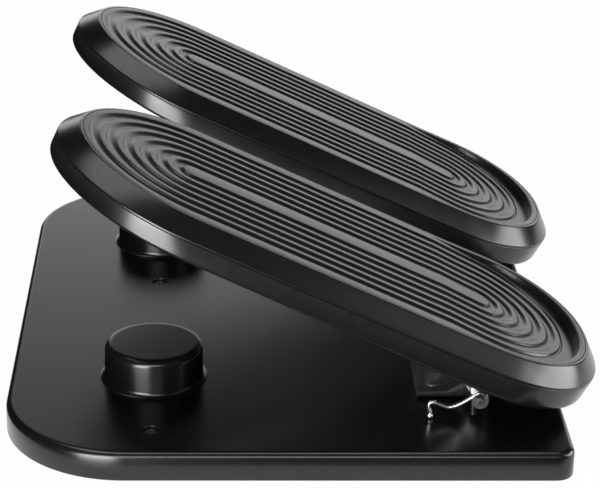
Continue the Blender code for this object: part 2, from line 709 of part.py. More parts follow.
def cover_rings():
    """Section of the cover from the middle of the deck round the rim and back underneath."""
    slope = WAIST_DROP / SHOULDER_WIDTH
    slant = COVER_WALL * math.hypot(1.0, slope)
    foot = WAIST_HEIGHT + FIT / 2
    foot_inner = RIM_REACH + (RIM_HEIGHT - slant - foot) / slope
    haunch = RIM_REACH + (RIM_HEIGHT - slant - DECK_UNDERSIDE) / slope
    wall_back = LEDGE_REACH + COVER_WALL
    wall_back_heel = LEDGE_HEEL_REACH + COVER_WALL
    heel_slope = WAIST_DROP / (WAIST_HEEL_REACH - RIM_HEEL_REACH)
    haunch_heel = RIM_HEEL_REACH + (RIM_HEIGHT - slant - DECK_UNDERSIDE) / heel_slope
    return [
        Ring(0.0, DECK_HEIGHT, 0.0, dish=1.0),
        Ring(LEDGE_REACH, DECK_HEIGHT, LEDGE_HEEL_REACH, dish=1.0),
        Ring(LEDGE_REACH + PIT_SLANT, DECK_HEIGHT, LEDGE_HEEL_REACH + PIT_SLANT),
        Ring(POCKET_REACH, DECK_HEIGHT, POCKET_HEEL_REACH),
        Ring(POCKET_REACH, RIM_HEIGHT, POCKET_HEEL_REACH),
        Ring(RIM_REACH - RIM_EDGE, RIM_HEIGHT, RIM_HEEL_REACH - RIM_EDGE),
        Ring(RIM_REACH, RIM_HEIGHT - RIM_EDGE * RIM_EDGE_DROP_SHARE, RIM_HEEL_REACH),
        Ring(WAIST_REACH, WAIST_LAND_TOP, WAIST_HEEL_REACH),
        Ring(WAIST_REACH, foot, WAIST_HEEL_REACH),
        Ring(foot_inner, foot, foot_inner - WAIST_HEEL_SHORTENING),
        Ring(haunch, DECK_UNDERSIDE, haunch_heel),
        Ring(wall_back + PIT_SLANT, DECK_UNDERSIDE, wall_back_heel + PIT_SLANT),
        Ring(wall_back, DECK_UNDERSIDE, wall_back_heel, dish=1.0),
        Ring(0.0, DECK_UNDERSIDE, 0.0, dish=1.0),
    ]


def mat_rings():
    """Section of the mat: concentric grooves, then the wall of the heel pit and a level band."""
    rings = [Ring(0.0, RIM_HEIGHT, 0.0, dish=1.0, shift=1.0)]
    for number in range(1, GROOVE_COUNT + 1):
        middle = number * GROOVE_PITCH
        for offset, depth in ((-GROOVE_HALF_WIDTH, 0.0), (0.0, GROOVE_DEPTH), (GROOVE_HALF_WIDTH, 0.0)):
            side = middle + offset
            crowded = PIT_HEEL_REACH - PIT_SLANT - (GROOVE_HALF_WIDTH - offset) * GROOVE_CROWD_SHARE
            heel = min(side, crowded)
            rings.append(Ring(side, RIM_HEIGHT - depth, heel, dish=1.0, shift=1.0))
    edge = POCKET_REACH - FIT
    heel_edge = POCKET_HEEL_REACH - FIT
    underside = RIM_HEIGHT - MAT_THICKNESS
    back = PIT_REACH + MAT_WALL
    heel_back = PIT_HEEL_REACH + MAT_WALL
    rings += [
        Ring(PIT_REACH, RIM_HEIGHT, PIT_HEEL_REACH, dish=1.0),
        Ring(PIT_REACH + PIT_SLANT, RIM_HEIGHT, PIT_HEEL_REACH + PIT_SLANT),
        Ring(edge - MAT_EDGE, RIM_HEIGHT, heel_edge - MAT_EDGE),
        Ring(edge, RIM_HEIGHT - MAT_EDGE, heel_edge),
        Ring(edge, underside, heel_edge),
        Ring(back + PIT_SLANT, underside, heel_back + PIT_SLANT),
        Ring(back, underside, heel_back, dish=1.0),
        Ring(0.0, underside, 0.0, dish=1.0),
    ]
    return rings


def shell_rings():
    """Section of the lower shell from the middle of its bottom up the skirt and back inside."""
    bottom = RIM_HEIGHT - SOLE_TOE_DROP
    top = WAIST_HEIGHT - FIT / 2
    inner = WAIST_REACH - SHELL_WALL
    soft = SOLE_EDGE * SOLE_EDGE_SHARE
    return [
        Ring(0.0, bottom, 0.0, sole=1.0),
        Ring(SOLE_REACH - SOLE_EDGE, bottom, SOLE_HEEL_REACH - SOLE_EDGE, sole=1.0),
        Ring(SOLE_REACH - soft, bottom + soft, SOLE_HEEL_REACH - soft, sole=1.0),
        Ring(SOLE_REACH, bottom + SOLE_EDGE, SOLE_HEEL_REACH, sole=1.0),
        Ring(WAIST_REACH, top, WAIST_HEEL_REACH),
        Ring(inner, top, WAIST_HEEL_REACH - SHELL_WALL),
        Ring(SOLE_REACH - SHELL_WALL, bottom + SHELL_WALL, SOLE_HEEL_REACH - SHELL_WALL, sole=1.0),
        Ring(0.0, bottom + SHELL_WALL, 0.0, sole=1.0),
    ]


def pedal_screw_places():
    """Pedal screws in the pedal's own frame, at the shell's bottom."""
    stations = (TOE_CENTRE + PEDAL_SCREW_TOE_INSET, DISH_START - PEDAL_SCREW_DISH_INSET)
    return [(x, side * PEDAL_SCREW_SIDE, sole_height(x)) for x in stations for side in (-1, 1)]


def make_pedal_cover():
    """Upper shell with four screw posts under its deck."""
    cover = stadium_solid("pedal_cover", cover_rings())
    for x, y, z in pedal_screw_places():
        post = moved(cylinder("post", PEDAL_POST_RADIUS, z + TOWER_TOP_DROP + FIT,
                              DECK_UNDERSIDE + COVER_WALL / 2, SMALL_TURN_STEPS),
                     Matrix.Translation((x, y, 0.0)))
        cover = combine(cover, post, "UNION")
        hole = moved(cylinder("hole", SCREW_SHAFT_RADIUS + FIT, z, DECK_UNDERSIDE, SCREW_STEPS),
                     Matrix.Translation((x, y, 0.0)))
        cover = combine(cover, hole, "DIFFERENCE")
    return cover


def from_level(along, height):
    """Pedal-frame coordinates of a point given level, both measured from the hinge axis."""
    cosine = math.cos(PEDAL_TILT)
    sine = math.sin(PEDAL_TILT)
    return along * cosine - height * sine, along * sine + height * cosine


def lug_outline():
    """Lug round the pin, with a foot that rests on the tray and stops the pedal's rise."""
    root = sole_height(0.0) + heel_lift(LUG_HALF_TOP) + SHELL_WALL / 2
    round_end = arc(0.0, 0.0, LUG_RADIUS, LUG_ROUND_START, LUG_ROUND_END, LUG_STEPS)
    stop_height = FIT - HINGE_HEIGHT
    stop = [from_level(0.0, stop_height), from_level(LUG_STOP_LENGTH, stop_height)]
    return [(LUG_HALF_TOP, root), (-LUG_HALF_TOP, root)] + round_end + stop


def make_pedal_shell():
    """Lower shell with screw towers, two hinge lugs and the web between them."""
    shell = stadium_solid("pedal_shell", shell_rings())
    head_room = PEDAL_SCREW_HEAD_RADIUS + HEAD_CLEARANCE
    for x, y, z in pedal_screw_places():
        tower = moved(cylinder("tower", PEDAL_TOWER_RADIUS, z + SHELL_WALL / 2, z + TOWER_TOP_DROP,
                               SMALL_TURN_STEPS), Matrix.Translation((x, y, 0.0)))
        shell = combine(shell, tower, "UNION")
        recess = moved(cylinder("recess", head_room, z - OVERRUN, z + PEDAL_TOWER_HEIGHT,
                                SMALL_TURN_STEPS), Matrix.Translation((x, y, 0.0)))
        shell = combine(shell, recess, "DIFFERENCE")
        hole = moved(cylinder("hole", SCREW_SHAFT_RADIUS + FIT, z, z + TOWER_TOP_DROP + OVERRUN,
                              SCREW_STEPS), Matrix.Translation((x, y, 0.0)))
        shell = combine(shell, hole, "DIFFERENCE")
    bore = cylinder("bore", BUSH_RADIUS + FIT, -LUG_OUTER - OVERRUN, LUG_OUTER + OVERRUN,
                    SMALL_TURN_STEPS)
    bore = moved(bore, Matrix.Rotation(QUARTER_TURN, 4, "X"))
    root = sole_height(0.0) + heel_lift(LUG_HALF_TOP) + SHELL_WALL / 2
    for side in (-1, 1):
        lug = upright_solid("lug", lug_outline(), LUG_THICKNESS)
        moved(lug, Matrix.Translation((0.0, side * (LUG_INNER + LUG_OUTER) / 2, 0.0)))
        shell = combine(shell, lug, "UNION")
    middle = (LUG_INNER + LUG_OUTER) / 2
    web = box("web", (LUG_WEB_PLACE, -middle, root - SHELL_WALL / 2 - LUG_WEB_HEIGHT),
              (LUG_WEB_PLACE + LUG_WEB_THICKNESS, middle, root))
    shell = combine(shell, web, "UNION")
    return combine(shell, bore, "DIFFERENCE")


def make_bracket():
    """Folded sheet: a flat plate with two upright ears that hold the pin."""
    bm = bmesh.new()
    bmesh.ops.create_grid(bm, x_segments=1, y_segments=1, size=1.0)
    bmesh.ops.scale(bm, vec=(BRACKET_HALF_LENGTH, BRACKET_HALF_WIDTH, 1.0), verts=bm.verts)
    bmesh.ops.translate(bm, vec=(0.0, 0.0, BRACKET_UNDERSIDE), verts=bm.verts)
    folds = [edge for edge in bm.edges if abs(edge.verts[0].co.y - edge.verts[1].co.y) < MERGE]
    raised = bmesh.ops.extrude_edge_only(bm, edges=folds)["geom"]
    ear_top = EAR_RADIUS + OVERRUN - BRACKET_UNDERSIDE
    bmesh.ops.translate(bm, vec=(0.0, 0.0, ear_top),
                        verts=[item for item in raised if isinstance(item, bmesh.types.BMVert)])
    bends = [edge for edge in bm.edges if len(edge.link_faces) == 2]
    bmesh.ops.bevel(bm, geom=bends, offset=BRACKET_BEND, segments=EDGE_STEPS, profile=0.5,
                    affect="EDGES", material=-1)
    bmesh.ops.recalc_face_normals(bm, faces=bm.faces)
    plate = next(face for face in bm.faces if abs(face.normal.z) > LEVEL_NORMAL_SHARE)
    if plate.normal.z > 0:
        bmesh.ops.reverse_faces(bm, faces=bm.faces)
    mesh = bpy.data.meshes.new("hinge_bracket")
    bm.to_mesh(mesh)
    bm.free()
    bracket = tool_object("hinge_bracket", mesh)
    solid = bracket.modifiers.new("sheet", "SOLIDIFY")
    solid.thickness = BRACKET_THICKNESS
    solid.offset = -1.0
    bracket = settle(bracket)
    level = BRACKET_UNDERSIDE + BRACKET_BEND + BRACKET_LIP
    over = ear_top + OVERRUN
    reach = BRACKET_HALF_LENGTH + OVERRUN
    around = arc(0.0, 0.0, EAR_RADIUS, EAR_ROUND_START, EAR_ROUND_END, EAR_STEPS)
    waste = [(-reach, level), (-EAR_FOOT, level)] + around + [(EAR_FOOT, level), (reach, level),
                                                              (reach, over), (-reach, over)]
    width = BRACKET_HALF_WIDTH + OVERRUN
    bracket = combine(bracket, upright_solid("waste", waste, 2 * width), "DIFFERENCE")
    bore = cylinder("bore", PIN_RADIUS + FIT, -width, width, SMALL_TURN_STEPS)
    bracket = combine(bracket, moved(bore, Matrix.Rotation(QUARTER_TURN, 4, "X")), "DIFFERENCE")
    places = [(along, across, BRACKET_UNDERSIDE) for along, across in bracket_screw_offsets()]
    holes = joined_copies(
        "holes", lambda: cylinder("hole", SCREW_SHAFT_RADIUS + FIT, -OVERRUN,
                                  BRACKET_THICKNESS + OVERRUN, SCREW_STEPS), places)
    return combine(bracket, holes, "DIFFERENCE")


def across_pedal(body):
    """Lay a body that was turned round Z along Y."""
    return moved(body, Matrix.Rotation(-QUARTER_TURN, 4, "X"))


def make_pin():
    """Hinge pin with a clip groove near each end."""
    groove = CLIP_THICKNESS / 2 + FIT
    neck = PIN_RADIUS - CLIP_GROOVE_DEPTH
    upper = [(0.0, PIN_HALF_LENGTH), (PIN_RADIUS - PIN_CHAMFER, PIN_HALF_LENGTH),
             (PIN_RADIUS, PIN_HALF_LENGTH - PIN_CHAMFER), (PIN_RADIUS, CLIP_PLACE + groove),
             (neck, CLIP_PLACE + groove), (neck, CLIP_PLACE - groove), (PIN_RADIUS, CLIP_PLACE - groove)]
    lower = [(radius, -height) for radius, height in reversed(upper)]
    return across_pedal(turned("hinge_pin", upper + lower, SMALL_TURN_STEPS))


def make_clip():
    """Open retaining ring that snaps into the pin's groove, with its mouth upwards."""
    half = CLIP_MOUTH_ANGLE / 2
    start = QUARTER_TURN + half
    end = QUARTER_TURN - half + math.tau
    outline = (arc(0.0, 0.0, CLIP_RADIUS, start, end, SMALL_TURN_STEPS)
               + arc(0.0, 0.0, CLIP_BORE, end, start, SMALL_TURN_STEPS))
    return upright_solid("pin_clip", outline, CLIP_THICKNESS)


def make_bush():
    """Flanged bush that lines a lug, with its flange on the outer side."""
    flange = BUSH_RADIUS + BUSH_FLANGE
    outer = LUG_OUTER + FIT + BUSH_FLANGE_THICKNESS
    seat = LUG_OUTER + FIT
    inner = LUG_INNER
    profile = [(BUSH_BORE, outer), (flange, outer), (flange, seat), (BUSH_RADIUS, seat),
               (BUSH_RADIUS, inner), (BUSH_BORE, inner), (BUSH_BORE, outer)]
    return across_pedal(turned("bush", profile, SMALL_TURN_STEPS))


def smooth_route(points, steps):
    """Catmull-Rom points through a route, with both of its ends kept."""
    padded = [2 * points[0] - points[1]] + list(points) + [2 * points[-1] - points[-2]]
    route = []
    for before, start, end, after in zip(padded, padded[1:], padded[2:], padded[3:]):
        for step in range(steps):
            t = step / steps
            route.append(0.5 * (2 * start + t * (end - before)
                                + t * t * (2 * before - 5 * start + 4 * end - after)
                                + t * t * t * (3 * start - before - 3 * end + after)))
    return route + [points[-1]]


def spring_route():
    """Wire route from the tray, round the pin and up to the pedal, for the coil at -Y."""
    outer = -COIL_OUTER_PLACE
    inner = -COIL_INNER_PLACE
    foot_x = -BASE_LEG_REACH * BASE_LEG_FOOT_SHARE
    foot_z = FIT - HINGE_HEIGHT
    base_leg = [Vector((foot_x, outer, foot_z)), Vector((foot_x, outer, foot_z + WIRE_DIAMETER))]
    base_leg += [Vector((-along * BASE_LEG_REACH, outer, rise * HINGE_HEIGHT))
                 for along, rise in BASE_LEG_SHARES]
    coil = []
    count = round(COIL_TURNS * COIL_POINTS_PER_TURN)
    for number in range(count + 1):
        share = number / count
        angle = COIL_START_ANGLE - share * COIL_TURNS * math.tau
        coil.append(Vector((COIL_RADIUS * math.cos(angle), outer + share * (inner - outer),
                            COIL_RADIUS * math.sin(angle))))
    climb = []
    flat_x = -PEDAL_LEG_FLAT_SHARES[0] * PEDAL_LEG_REACH
    rest = sole_height(flat_x) - FIT - WIRE_DIAMETER / 2
    for along, rise in PEDAL_LEG_CLIMB_SHARES:
        climb.append((-along * PEDAL_LEG_REACH, rise * rest))
    for along in PEDAL_LEG_FLAT_SHARES:
        x = -along * PEDAL_LEG_REACH
        climb.append((x, sole_height(x) - FIT - WIRE_DIAMETER / 2))
    cosine = math.cos(PEDAL_TILT)
    sine = math.sin(PEDAL_TILT)
    pedal_leg = [Vector((x * cosine + z * sine, inner, z * cosine - x * sine)) for x, z in climb]
    first = smooth_route(base_leg + [coil[0]], LEG_STEPS)
    last = smooth_route([coil[-1]] + pedal_leg, LEG_STEPS)
    straight_foot = [first[0]] + first[LEG_STEPS:]
    return straight_foot[:-1] + coil + last[1:]


def own_gap(route):
    """Least gap between stretches of the wire that aren't neighbours along it."""
    lengths = [0.0]
    for start, end in zip(route, route[1:]):
        lengths.append(lengths[-1] + (end - start).length)
    far = COIL_RADIUS * 2
    least = min((a - b).length for i, a in enumerate(route) for j, b in enumerate(route)
                if lengths[j] - lengths[i] > far)
    return least - WIRE_DIAMETER


def make_spring(route, hand):
    """One unbroken wire along the route, mirrored for the far side."""
    curve = bpy.data.curves.new("torsion_spring", "CURVE")
    curve.dimensions = "3D"
    curve.bevel_depth = WIRE_DIAMETER / 2
    curve.bevel_resolution = 1
    curve.use_fill_caps = True
    spline = curve.splines.new("POLY")
    spline.points.add(len(route) - 1)
    for point, place in zip(spline.points, route):
        point.co = (place.x, -hand * place.y, place.z, 1.0)
    return settle(tool_object("torsion_spring", curve))


def build_hinge(word, finishes, axis):
    """Bracket, screws, pin, clips and springs of one pedal, all fixed to the base."""
    steel = finishes["bright_steel"]
    dark = finishes["black_steel"]
    finish_part(make_bracket(), f"{word}_hinge_bracket", dark, parent=axis)
    seat = BRACKET_TOP + FIT
    for number, (along, across) in enumerate(bracket_screw_offsets(), start=1):
        body = make_screw(BRACKET_SCREW_HEAD_RADIUS, BRACKET_SCREW_HEAD_HEIGHT, BRACKET_SCREW_LENGTH)
        finish_part(body, f"{word}_bracket_screw_{number}", dark, parent=axis, place=(along, across, seat))
    finish_part(make_pin(), f"{word}_hinge_pin", dark, parent=axis)
    route = spring_route()
    print(f"{word} spring least gap to itself {own_gap(route) * 1000:.2f} mm")
    for number, hand in enumerate((-1, 1), start=1):
        finish_part(make_clip(), f"{word}_pin_clip_{number}", dark, parent=axis,
                    place=(0.0, hand * CLIP_PLACE, 0.0))
        finish_part(make_spring(route, hand), f"{word}_torsion_spring_{number}", steel, parent=axis)


def build_pedal(word, finishes, axis):
    """Cover, mat, shell, screws and bushes of one pedal, which turn together."""
    plastic = finishes["satin_black_plastic"]
    finish_part(make_pedal_cover(), f"{word}_pedal_cover", plastic, parent=axis)
    finish_part(stadium_solid("pedal_mat", mat_rings()), f"{word}_pedal_mat",
                finishes["black_rubber"], parent=axis)
    finish_part(make_pedal_shell(), f"{word}_pedal_shell", plastic, parent=axis)
    for number, (x, y, z) in enumerate(pedal_screw_places(), start=1):
        body = make_screw(PEDAL_SCREW_HEAD_RADIUS, PEDAL_SCREW_HEAD_HEIGHT, PEDAL_SCREW_LENGTH)
        moved(body, Matrix.Rotation(math.pi, 4, "X"))
        finish_part(body, f"{word}_pedal_screw_{number}", finishes["black_steel"], parent=axis,
                    place=(x, y, z + PEDAL_TOWER_HEIGHT - FIT))
    for number, hand in enumerate((-1, 1), start=1):
        body = make_bush()
        moved(body, Matrix.Rotation(math.pi if hand < 0 else 0.0, 4, "Z"))
        finish_part(body, f"{word}_bush_{number}", finishes["white_nylon"], parent=axis)


def main():
    """Build the whole footrest."""
    global PARTS, CUTTERS
    PARTS, CUTTERS = start_scene()
    finishes = {name: make_finish(name) for name in FINISHES}
    build_base(finishes)
    for side, word in pedal_sides():
        fixed_axis = axis_empty(f"{word}_hinge_axis", side)
        pedal_axis = axis_empty(f"{word}_pedal_axis", side)
        pedal_axis.rotation_euler = (0.0, PEDAL_TILT, 0.0)
        build_hinge(word, finishes, fixed_axis)
        build_pedal(word, finishes, pedal_axis)


main()
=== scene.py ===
# %% [markdown]
# # A black footrest with two sprung pedals
# The real thing lies under a desk. Each foot has its own pedal, a long tray with round ends, which
# turns on a pin near the heel and is held up at the toe by two torsion springs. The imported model
# gives every piece its place. This notebook gives each piece its fine shape and its finish, then
# adds the light and the camera of a product picture.

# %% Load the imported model
import json
import math
from collections import namedtuple

import bmesh
import bpy
from mathutils import Matrix, Vector


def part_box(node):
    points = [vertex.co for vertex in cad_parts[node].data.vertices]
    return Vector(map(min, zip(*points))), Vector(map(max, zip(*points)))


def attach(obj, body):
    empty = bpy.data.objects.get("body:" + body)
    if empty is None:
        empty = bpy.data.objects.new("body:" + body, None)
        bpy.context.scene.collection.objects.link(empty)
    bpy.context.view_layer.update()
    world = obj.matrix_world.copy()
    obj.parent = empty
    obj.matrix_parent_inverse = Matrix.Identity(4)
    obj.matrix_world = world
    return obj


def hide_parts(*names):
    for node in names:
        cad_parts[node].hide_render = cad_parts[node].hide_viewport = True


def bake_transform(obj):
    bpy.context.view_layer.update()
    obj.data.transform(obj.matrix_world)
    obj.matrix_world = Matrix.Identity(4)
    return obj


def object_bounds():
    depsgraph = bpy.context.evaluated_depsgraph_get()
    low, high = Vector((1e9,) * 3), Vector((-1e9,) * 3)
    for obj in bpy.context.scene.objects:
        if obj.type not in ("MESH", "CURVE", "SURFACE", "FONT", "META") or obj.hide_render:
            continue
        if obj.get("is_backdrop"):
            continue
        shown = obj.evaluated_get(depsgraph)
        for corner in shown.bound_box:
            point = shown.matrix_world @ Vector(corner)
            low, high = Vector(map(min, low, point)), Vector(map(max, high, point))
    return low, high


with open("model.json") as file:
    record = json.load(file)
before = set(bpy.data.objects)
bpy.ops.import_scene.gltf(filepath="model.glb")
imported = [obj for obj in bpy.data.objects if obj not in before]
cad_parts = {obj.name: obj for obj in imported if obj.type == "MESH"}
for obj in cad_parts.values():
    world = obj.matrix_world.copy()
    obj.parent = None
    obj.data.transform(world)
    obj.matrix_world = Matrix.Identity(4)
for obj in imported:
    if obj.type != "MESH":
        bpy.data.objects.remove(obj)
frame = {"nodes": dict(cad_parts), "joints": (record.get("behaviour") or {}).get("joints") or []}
packed_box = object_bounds()
print("nodes:", len(frame["nodes"]))

# %% [markdown]
# ## Sizes
# All lengths are in metres. The toe ends point to -X and the hinges lie near the heel edge at +X.
# The sizes of the pedals are measured from the hinge axis, along the pedal and square to it,
# because that is how a pedal is drawn before it is tilted. `FIT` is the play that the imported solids
# leave where two pieces meet, and points nearer to each other than `MERGE` count as one.

# %% Sizes of the tray, the hinge line and the pedals
FIT = 0.0003
MERGE = 0.000001
HANDS = (-1, 1)
SIDES = ((-1, "left"), (1, "right"))
TRAY_LOW, TRAY_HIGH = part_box("base_shell")
TRAY_BOTTOM = TRAY_LOW.z
TRAY_TOP = 0.01725
TRAY_WALL = 0.0026
PEDAL_TILT = math.radians(24.75)
left_joint = next(joint for joint in frame["joints"] if joint["name"] == "left_pedal_hinge")
HINGE = Vector(left_joint["pos_m"])
HALF_SPACING = -HINGE.y
HINGE_HEIGHT = HINGE.z - TRAY_TOP
WIRE = 0.0022
RIM_HEIGHT = 0.0356
HEEL_CENTRE = -0.0051
STRAIGHT_RUN = 0.17385
TOE_CENTRE = HEEL_CENTRE - STRAIGHT_RUN


def from_hinge(side, x=0.0, y=0.0, z=0.0):
    """Place measured from the middle of a pedal's hinge axis."""
    return Vector((HINGE.x + x, side * HALF_SPACING + y, HINGE.z + z))


print(f"hinge axis {HINGE.x * 1000:.1f} mm behind the middle, "
      f"{HINGE_HEIGHT * 1000:.2f} mm above the tray")

# %% [markdown]
# ## Finishes
# A finish in Blender is a small network of nodes. Writing it as sums in Python keeps it readable:
# the class below wraps one output of a node, so that `0.35 + 0.1 * grain` adds the Math nodes it
# needs. Any other node comes from its one method, which takes the node's type, its settings and
# the values or links of its inputs.

# %% A value that runs through a finish
class Wire:
    """Output of a node, on which Python's own signs add Math nodes."""

    def __init__(self, tree, socket=None):
        self.tree = tree
        self.socket = socket

    def node(self, kind, settings=None, inputs=None, output=0):
        """Any node: its settings are set first, then its inputs are given values or links."""
        made = self.tree.nodes.new(kind)
        for name, value in (settings or {}).items():
            setattr(made, name, value)
        for name, value in (inputs or {}).items():
            if isinstance(value, Wire):
                self.tree.links.new(value.socket, made.inputs[name])
            else:
                made.inputs[name].default_value = value
        return Wire(self.tree, made.outputs[output])

    def calculate(self, operation, first, second):
        """Math node."""
        return self.node("ShaderNodeMath", {"operation": operation}, {0: first, 1: second})

    def __add__(self, other):
        return self.calculate("ADD", self, other)

    def __sub__(self, other):
        return self.calculate("SUBTRACT", self, other)

    def __mul__(self, other):
        return self.calculate("MULTIPLY", self, other)

    __radd__ = __add__
    __rmul__ = __mul__


# %% [markdown]
# Every finish starts the same way: a material with its Principled shader, and the place of each
# point on the object, read from Object coordinates. Noise of a fine scale then drives a Bump node,
# which tilts the surface like the spark-eroded grain of a moulding tool. Edges are where hands,
# shoes and cloths rub, so every mesh also carries an attribute named `wear`, which is 1 on tight
# convex edges and 0 on flat faces, and the finishes make those places smoother or lighter.

# %% Start a finish and end it
def start_finish(name, **constants):
    """Material, its shader and a wire that carries the point's place on the object."""
    material = bpy.data.materials.new(name)
    material.use_nodes = True
    shader = material.node_tree.nodes["Principled BSDF"]
    for socket, value in constants.items():
        shader.inputs[socket.replace("_", " ")].default_value = value
    place = Wire(material.node_tree).node("ShaderNodeTexCoord", output="Object")
    return material, shader, place


def noise(place, scale, detail=2.0, roughness=0.5):
    """Cloudy value from 0 to 1 that changes over about one part in scale of a metre."""
    return place.node("ShaderNodeTexNoise", None, {
        "Vector": place, "Scale": scale, "Detail": detail, "Roughness": roughness})


def between(place, share, first, second):
    """Colour that runs from the first to the second."""
    return place.node("ShaderNodeMix", {"data_type": "RGBA"}, {0: share, 6: first, 7: second},
                      output=2)


def bump(place, height, strength, distance):
    """Small tilt of the surface from a height."""
    return place.node("ShaderNodeBump", None, {
        "Height": height, "Strength": strength, "Distance": distance})


def edge_wear(place, rubbed):
    """Wear of the convex edges, broken up by a cloudy value."""
    return place.node("ShaderNodeAttribute", {"attribute_name": "wear"}, output="Fac") * rubbed


def end_finish(material, shader, **links):
    """Join wires to the shader's own inputs."""
    for socket, wire in links.items():
        material.node_tree.links.new(wire.socket, shader.inputs[socket.replace("_", " ")])
    print("finish:", material.name)
    return material


# %% [markdown]
# Black is never quite black: each finish runs between two shades of its colour, and most of them
# to a third one where they are worn.

# %% Shades
def grey(level, blue):
    """Neutral shade with its own amount of blue."""
    return level, level, blue, 1.0


PLASTIC = (grey(0.0020, 0.0021), grey(0.0034, 0.0035), grey(0.016, 0.0165))
MAT = (grey(0.005, 0.0052), grey(0.008, 0.0083), grey(0.018, 0.0185))
RUBBER = (grey(0.030, 0.031), grey(0.055, 0.056), grey(0.10, 0.10))
OXIDE = (grey(0.006, 0.0063), grey(0.016, 0.0165), grey(0.16, 0.165))
DRAWN_STEEL = (grey(0.74, 0.75), grey(0.86, 0.87))
NYLON = ((0.56, 0.55, 0.50, 1.0), (0.66, 0.65, 0.61, 1.0))
print("worn plastic is", round(PLASTIC[2][0] / PLASTIC[0][0]), "times as bright as fresh plastic")

# %% [markdown]
# ### Satin black plastic
# The tray and the pedal shells are injection-moulded in black plastic. Up close it has a fine
# grain and it shines softly, so the edges draw thin lights. The colour hardly changes, but a slow
# change in the gloss keeps large flat areas from looking painted.

# %% Satin black plastic
def make_black_plastic():
    """Fine moulding grain, slow change of gloss."""
    material, shader, place = start_finish("satin_black_plastic", IOR=1.5)
    clouds = noise(place, 14.0, 3.0)
    rubbed = noise(place, 160.0, 4.0, 0.7)
    worn = edge_wear(place, rubbed)
    colour = between(place, worn, between(place, clouds, *PLASTIC[:2]), PLASTIC[2])
    return end_finish(material, shader, Base_Color=colour,
                      Roughness=0.20 + 0.04 * clouds + 0.04 * rubbed - 0.05 * worn,
                      Normal=bump(place, noise(place, 2400.0, 2.0, 0.6), 0.10, 0.00006))


finishes = {"black_plastic": make_black_plastic()}

# %% [markdown]
# ### The other finishes
# They need only one cloudy value, which changes the shade, breaks up the wear and makes the gloss
# uneven, so one function makes them all. `clouds` and `grain` hold the scale of a noise, its detail
# and its roughness. `gloss` holds the roughness of the surface, how much the clouds add to it and
# how much wear takes off it. `relief` holds the strength and the depth of the grain's bump.

# %% A finish with one cloudy value
def make_finish(name, shades, clouds, gloss, grain=None, relief=None, **constants):
    """Cloudy shades, worn edges and a fine grain."""
    material, shader, place = start_finish(name, **constants)
    cloud = noise(place, *clouds)
    worn = edge_wear(place, cloud)
    colour = between(place, cloud, *shades[:2])
    if len(shades) > 2:
        colour = between(place, worn, colour, shades[2])
    roughness, cloudy, polished = gloss
    links = {"Base_Color": colour, "Roughness": roughness + cloudy * cloud - polished * worn}
    if grain:
        links["Normal"] = bump(place, noise(place, *grain), *relief)
    return end_finish(material, shader, **links)


# %% [markdown]
# The mat under the sole is a softer rubber-like plastic. It is a little greyer and duller than the
# shell, and its grain is finer, with a trace of powdery bloom. The feet are dull dark grey rubber.
# Pins, clips, brackets and screws are blackened steel, a metal under a thin dark oxide that wears
# off in specks along the edges. The springs are drawn wire: bright, with fine lines left by the
# die. The bushes are uncoloured nylon, milky and a little yellow.

# %% Mat, foot rubber, blackened steel, spring wire and nylon
finishes["mat_rubber"] = make_finish(
    "mat_rubber", MAT, (30.0, 4.0, 0.6), (0.27, 0.06, 0.05), (3200.0, 2.0, 0.6), (0.12, 0.00005),
    IOR=1.5)
finishes["foot_rubber"] = make_finish(
    "foot_rubber", RUBBER, (220.0, 4.0, 0.65), (0.62, 0.2, 0.0), (1500.0,), (0.2, 0.0001), IOR=1.5)
finishes["dark_steel"] = make_finish(
    "blackened_steel", OXIDE, (500.0, 4.0, 0.6), (0.26, 0.16, 0.08), (1800.0,), (0.12, 0.00005),
    IOR=1.5, Metallic=0.35)
finishes["spring_steel"] = make_finish(
    "bright_spring_wire", DRAWN_STEEL, (1400.0,), (0.23, 0.10, 0.0), (1400.0,), (0.08, 0.00004),
    Metallic=1.0)
finishes["bush_nylon"] = make_finish(
    "natural_nylon", NYLON, (260.0, 3.0, 0.5), (0.38, 0.14, 0.10), IOR=1.53)

# %% [markdown]
# ## From a bmesh to a piece
# A piece is modelled as a bmesh, the editable form of a mesh. When its shape is done its doubles
# are merged, its faces are turned outwards and its edges are marked for wear, and it becomes an
# object at the origin. Then it is told which body carries it and which finish it has, and the
# imported nodes that it replaces are hidden.

# %% Make a mesh into a piece of the footrest
WORN_RADIUS = 0.0010


def mark_wear(bm):
    """Write how tightly the mesh bulges at each point, from 0 to 1, as the attribute `wear`."""
    bm.normal_update()
    layer = bm.verts.layers.float.new("wear")
    for vert in bm.verts:
        rays = [edge.other_vert(vert).co - vert.co for edge in vert.link_edges]
        bulge = max((-2 * ray.dot(vert.normal) / ray.length_squared for ray in rays), default=0.0)
        vert[layer] = min(1.0, max(0.0, bulge * WORN_RADIUS))


def add_object(name, data):
    """New object in the scene."""
    made = bpy.data.objects.new(name, data)
    bpy.context.scene.collection.objects.link(made)
    return made


def make_object(bm, name, finish, sharp):
    """Object at the origin with smooth shading and sharp folds kept."""
    bmesh.ops.remove_doubles(bm, verts=bm.verts, dist=MERGE)
    bmesh.ops.recalc_face_normals(bm, faces=bm.faces)
    mark_wear(bm)
    mesh = bpy.data.meshes.new(name)
    bm.to_mesh(mesh)
    bm.free()
    mesh.shade_smooth()
    mesh.set_sharp_from_angle(angle=math.radians(sharp))
    mesh.materials.append(finish)
    return add_object(name, mesh)


def add_piece(bm, name, slot, body, *nodes, sharp=35.0):
    """Piece in the finish of its slot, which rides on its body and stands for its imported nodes."""
    piece = make_object(bm, name, finishes[slot], sharp)
    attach(piece, body)
    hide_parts(*nodes)
    print(f"{piece.name}: {len(piece.data.polygons)} faces on {body}")


